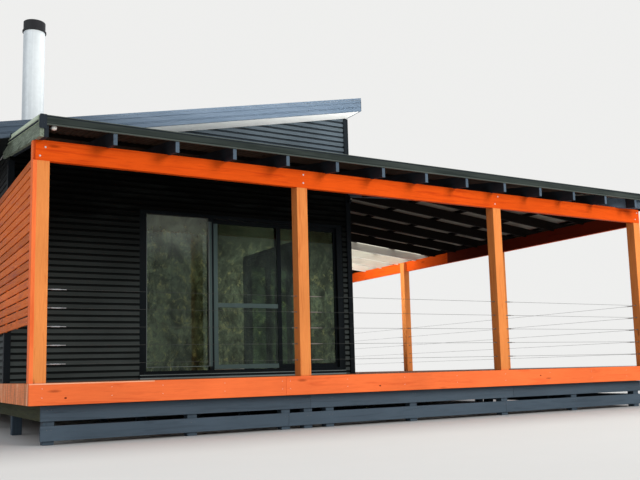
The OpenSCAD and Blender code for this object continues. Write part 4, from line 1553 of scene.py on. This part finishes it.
@dataclass
class MainRoof:
    """The main roof's sheets, rolled fascia, soffit and eave linings, with painted shade on the eave
    linings and the soffit's left end.
    """

    fascia_t: float = 0.025
    plate_t: float = 0.004
    lining_t: float = 0.004
    # Left of this the soffit is painted dark, as painted shade
    soffit_l: float = 0.030
    # The rolled front fascia's section: how far behind its face and below the roof's top
    section: tuple[Pair, ...] = (
        (0.025, 0.0301), (0.004, 0.0301), (0.0, 0.0331), (0.0, 0.068), (0.009, 0.072),
        (0.009, 0.082), (0.001, 0.086), (0.003, 0.112), (0.001, 0.138), (0.006, 0.141),
        (0.0, 0.146), (0.0, 0.153), (0.006, 0.158), (0.002, 0.162), (0.002, 0.205),
        (0.0, 0.209), (0.002, 0.215), (0.025, 0.215))

    def build(self) -> None:
        """Builds the sheets, the fascia, the soffit and the linings."""
        self.sheets()
        copied("main_fascia", "main_roof_steel", 61,
               without=lambda m: m.y < PLAN.main_f + 0.05)
        self.front_fascia()
        copied("main_soffit", "soffit_lining", 62, 0.001, other="trim_steel",
               cuts=((Axis.X, self.soffit_l),), paint=lambda m, n: m.x < self.soffit_l)
        self.eave_linings()

    def sheets(self) -> None:
        """Builds the corrugated sheets with the flat lining under them."""
        piece = Piece("main_roof_sheets", "main_roof_steel", "room_lining", seed=60)
        slope = Vector((math.cos(PLAN.main_pitch), 0, math.sin(PLAN.main_pitch)))
        run = (PLAN.main_r - PLAN.main_l) / math.cos(PLAN.main_pitch)
        part = corrugated((PLAN.main_l, PLAN.main_f, PLAN.main_top(PLAN.main_l)), (0, 1, 0), slope,
                          PLAN.main_b - PLAN.main_f, run, 0.0,
                          PLAN.main_t * math.cos(PLAN.main_pitch))
        cut(part, (PLAN.main_l, 0, 0), (-1, 0, 0))
        cut(part, (PLAN.main_r, 0, 0), (1, 0, 0))
        for face in part.faces:
            if face.normal.z < -0.9:
                face.material_index = 1
        piece.take(part, 0, 0.5)
        piece.done(replaces=["main_roof"], smooth=True)

    def front_fascia(self) -> None:
        """Builds the rolled front fascia, cut over the verandah's roof, and its end plate."""
        piece = Piece("main_fascia_front", "main_roof_steel", "trim_steel", seed=63)
        end, gap = PLAN.main_r - self.plate_t, PLAN.roof_l - PLAN.edge_t - 0.010
        for left, right in ((PLAN.main_l, gap), (gap, end)):
            z = PLAN.main_top(left)
            part = pushed([(PLAN.main_f + y, z - d) for y, d in self.section], Axis.X,
                          (left, right), (right - left) * math.tan(PLAN.main_pitch))
            if left == gap:
                cut(part, (0, 0, PLAN.front_top(0) + 0.025),
                    (0, math.sin(PLAN.front_pitch), -math.cos(PLAN.front_pitch)))
            piece.take(part, 0, 0.5)
        top, low = (PLAN.main_top(PLAN.main_r) - self.section[i][1] for i in (0, -1))
        front, back = PLAN.main_f, PLAN.main_f + self.fascia_t
        piece.run([(front, top), (front, low), (back, low), (back, top)], Axis.X,
                  (end, PLAN.main_r), finish=1)
        piece.done()

    def eave_linings(self) -> None:
        """Builds the linings under the left and rear eaves, painted dark as painted shade."""
        piece = Piece("eave_linings", "trim_steel", seed=64)
        rear = PLAN.main_b - self.fascia_t
        for left, right, front in ((PLAN.main_l + self.fascia_t, PLAN.house_l, PLAN.wall_y),
                                   (PLAN.house_l, PLAN.main_r, PLAN.house_rear)):
            z = PLAN.main_top(left) - self.section[0][1] - 0.002
            low = z - self.lining_t
            piece.run([(front, z), (rear, z), (rear, low), (front, low)], Axis.X, (left, right),
                      (right - left) * math.tan(PLAN.main_pitch))
        piece.done()


@dataclass
class Glazing:
    """Window, sliding door and side windows."""

    # Where the leaf's bright stile and rail end
    stile: float = 3.875
    rail: float = 2.874
    sill: float = 0.715
    sill_t: float = 0.004
    # Left, right, lower and upper edge of the fixed pane
    pane: tuple[float, float, float, float] = (1.850, 2.778, 0.815, 2.895)
    bead: float = 0.007
    bead_y: Pair = (0.008, 0.050)
    mullion: Pair = (2.776, 2.815)

    def build(self) -> None:
        """Dresses the frames, the leaf and the glass."""
        (left, right), (_, _, low, high) = self.mullion, self.pane
        copied("front_glazing_frame", "frame_aluminium", 70, segments=2,
               other="leaf_aluminium",
               cuts=((Axis.X, left), (Axis.X, right), (Axis.Z, low), (Axis.Z, high)),
               paint=lambda m, n: n.y < -0.6 and left < m.x < right and low < m.z < high)
        copied("side_glazing_frame", "frame_aluminium", 71, segments=2)
        copied("sliding_leaf", "leaf_aluminium", 72, segments=2, body=DOOR,
               other="frame_aluminium", cuts=((Axis.X, self.stile), (Axis.Z, self.rail)),
               paint=lambda m, n: m.x > self.stile or m.z > self.rail)
        piece = Piece("front_sill", "sill_aluminium", seed=73)
        front = PLAN.wall_y - 0.017
        for low, high in ((PLAN.deck_z + 0.0005, PLAN.deck_z + 0.020),
                          (self.sill - 0.008, self.sill + 0.002)):
            piece.box((PLAN.glazing_l + 0.002, front, low),
                      (PLAN.glazing_r - 0.002, front + self.sill_t, high), 0.001, 2)
        piece.done()
        self.beads()
        for node in ("front_fixed_glass", "side_glazing_glass", "sliding_glass"):
            refinished(node, "window_glass")

    def beads(self) -> None:
        """Builds the light beads that hold the fixed pane."""
        piece = Piece("pane_beads", "sill_aluminium", seed=74)
        left, right, low, high = self.pane
        front, back = (PLAN.wall_y + y for y in self.bead_y)
        for x in (left, right - self.bead):
            piece.box((x, front, low), (x + self.bead, back, high), 0.0015)
        piece.box((left + self.bead, front, low), (right - self.bead, back, low + self.bead), 0.0015)
        piece.done()


@dataclass
class Flue:
    """The insulated flue with its boot and cowl."""

    x: float = 0.425
    y: float = 2.500
    boot: Pair = (0.215, 0.148)
    boot_z: Pair = (-0.02, 0.10)

    def build(self) -> None:
        """Builds the casing, the cowl and the boot round its foot."""
        copied("flue_pipe", "flue_zinc", 80)
        copied("flue_cowl", "cowl_steel", 81, 0.003)
        piece = Piece("flue_boot", "rubber_seal", seed=83)
        low, high = ((self.x, self.y, PLAN.main_top(self.x) + h) for h in self.boot_z)
        piece.rod(low, high, self.boot[0], 40, 0.002, 0, self.boot[1])
        piece.done(smooth=True)


@dataclass
class Lamps:
    """The round lamp under the roof's edge and the small one on the house's corner."""

    ball: tuple[float, float, float] = (0.168, -0.202, 3.362)
    radius: float = 0.033
    squash: float = 0.84
    # Radius and ends of the ball's cap above its middle, and the stem's radius
    cap: tuple[float, float, float] = (0.024, 0.018, 0.034)
    stem: float = 0.009
    corner: tuple[tuple[float, float, float], tuple[float, float, float]] = (
        (5.140, 1.780, 3.365), (5.190, 1.830, 3.445))

    def build(self) -> None:
        """Builds both lamps."""
        piece = Piece("verandah_lamps", "lamp_white", "trim_steel", seed=82)
        x, y, z = self.ball
        part = bmesh.new()
        matrix = Matrix.Translation(self.ball) @ Matrix.Diagonal((1.0, 1.0, self.squash, 1.0))
        bmesh.ops.create_uvsphere(part, u_segments=32, v_segments=16, radius=self.radius,
                                  matrix=matrix)
        piece.take(part, 0, 0.5)
        wide, low, high = self.cap
        piece.rod((x, y, z + low), (x, y, z + high), wide, 24, 0.002, finish=1)
        piece.rod((x, y, z + high - HAIR), (x, y, PLAN.front_top(y) - 0.061), self.stem, finish=1)
        near, far = self.corner
        piece.box(near, far, 0.005, 3, finish=1)
        piece.box((far[0] - 0.022, near[1] - 0.004, far[2] - 0.030),
                  (far[0] - 0.006, near[1] + 0.001, far[2] - 0.012), 0.0015)
        piece.done(replaces=["verandah_lights"], smooth=True)


@dataclass(frozen=True)
class SoftLight:
    """A soft lamp of the studio, square unless its height is given."""

    name: str
    place: tuple[float, float, float]
    aim: tuple[float, float, float]
    size: float
    power: float
    colour: Colour
    glossy: bool = False
    spread: float = 180.0
    tall: float = 0.0

    def hang(self) -> None:
        """Hangs the lamp and turns it to its aim."""
        data = bpy.data.lights.new(self.name, "AREA")
        data.size, data.energy, data.color = self.size, self.power, self.colour
        data.spread = math.radians(self.spread)
        if self.tall:
            data.shape, data.size_y = "RECTANGLE", self.tall
        lamp = bpy.data.objects.new(self.name, data)
        lamp.location = self.place
        lamp.visible_camera = lamp.visible_transmission = False
        lamp.visible_glossy = self.glossy
        lamp.rotation_mode = "QUATERNION"
        way = Vector(self.aim) - Vector(self.place)
        lamp.rotation_quaternion = way.to_track_quat("-Z", "Y")
        bpy.context.scene.collection.objects.link(lamp)


LIGHTS = (
    SoftLight("key", (9, -25, 9), (0, -2, 2), 9.0, 3600.0, (1.0, 0.96, 0.90)),
    SoftLight("fill", (-20, -8, 9), (-4, 0, 2), 10.0, 300.0, (0.94, 0.97, 1.0), True),
    SoftLight("top", (1, -3, 17), (1, 0, 0), 8.0, 2200.0, (1.0, 0.97, 0.92)),
    SoftLight("eave", (-1.5, -4.9, 4.20), (-1.5, -3.3, 4.90), 5.0, 45.0, (1.0, 0.98, 0.95),
              spread=80.0, tall=0.5),
    SoftLight("clear", (1.735, 2.351, 2.0), (5.035, 2.351, 3.2), 1.6, 36.0, (0.98, 1.0, 0.95),
              spread=75.0),
    SoftLight("room", (-2.3, -0.6, 1.2), (-2.3, -0.6, 4), 2.0, 110.0, (1.0, 0.98, 0.94),
              spread=105.0),
)


@dataclass
class Studio:
    """The pale floor, the soft light and the camera at the photo's place."""

    place: tuple[float, float, float] = (-6.41847, -13.78525, 0.71606)
    azimuth: float = math.radians(59.795)
    pitch: float = math.radians(7.201)
    roll: float = math.radians(1.469)
    lens: float = 44.750
    sensor: float = 36.0
    # The camera's vertical shift, as a share of the picture's width
    rise: float = 30 / 640
    clip: Pair = (0.1, 500.0)
    floor_size: float = 150.0
    paper: Colour = (0.86, 0.86, 0.85)
    card: Colour = (0.60, 0.60, 0.59)
    sky: Colour = (0.90, 0.94, 1.0)
    sky_strength: float = 0.60

    def build(self) -> None:
        """Builds everything that isn't the house."""
        self.camera()
        self.floor()
        self.world()
        for light in LIGHTS:
            light.hang()

    def camera(self) -> None:
        """Sets the camera from its measured angles."""
        ca, sa = math.cos(self.azimuth), math.sin(self.azimuth)
        cp, sp = math.cos(self.pitch), math.sin(self.pitch)
        forward, right = Vector((ca * cp, sa * cp, sp)), Vector((sa, -ca, 0))
        down = forward.cross(right)
        c, s = math.cos(self.roll), math.sin(self.roll)
        right, down = c * right + s * down, c * down - s * right
        data = bpy.data.cameras.new("camera")
        data.lens, data.sensor_width, data.sensor_fit = self.lens, self.sensor, "HORIZONTAL"
        data.shift_y = self.rise
        data.clip_start, data.clip_end = self.clip
        camera = bpy.data.objects.new("camera", data)
        turn = Matrix((right, -down, -forward)).transposed().to_4x4()
        camera.matrix_world = Matrix.Translation(self.place) @ turn
        bpy.context.scene.collection.objects.link(camera)
        bpy.context.scene.camera = camera

    def floor(self) -> None:
        """Lays the pale floor."""
        bm = bmesh.new()
        bmesh.ops.create_grid(bm, x_segments=1, y_segments=1, size=self.floor_size)
        mesh = bpy.data.meshes.new("studio_floor")
        bm.to_mesh(mesh)
        bm.free()
        floor = bpy.data.objects.new("studio_floor", mesh)
        nodes = Nodes(bpy.data.materials.new("studio_floor"))
        grain = nodes.noise(nodes.place(), 1.5, 3.0)
        nodes.shade(Base_Color=nodes.mix(grain, self.card, _scaled(self.card, 0.97)), Roughness=0.9)
        mesh.materials.append(nodes.owner)
        bpy.context.scene.collection.objects.link(floor)

    def world(self) -> None:
        """Makes the even world light, which is white where it is seen."""
        world = bpy.data.worlds.new("studio")
        bpy.context.scene.world = world
        nodes = Nodes(world)
        nodes.shade(Color=(*self.sky, 1), Strength=self.sky_strength)
        white = nodes.add("Background", Color=(*self.paper, 1), Strength=1.0)
        rays = nodes.add("LightPath").outputs
        seen = nodes.math("MAXIMUM", rays["Is Camera Ray"], rays["Is Transmission Ray"])
        nodes.put(nodes.out, "Surface",
                  nodes.blend(seen, nodes.shader.outputs[0], white.outputs[0]))


def main() -> None:
    """Builds and dresses the house."""
    logging.basicConfig(level=logging.INFO, format="%(message)s")
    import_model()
    bpy.context.scene.view_settings.view_transform = "Standard"
    Studio().build()
    for part in (SubFloor(), Deck(), Frame(), VerandahRoof(), Screen(), Balustrade(), Walls(),
                 MainRoof(), Glazing(), Flue(), Lamps()):
        part.build()
        LOG.info("built %s", type(part).__name__)


if __name__ == "__main__":
    main()
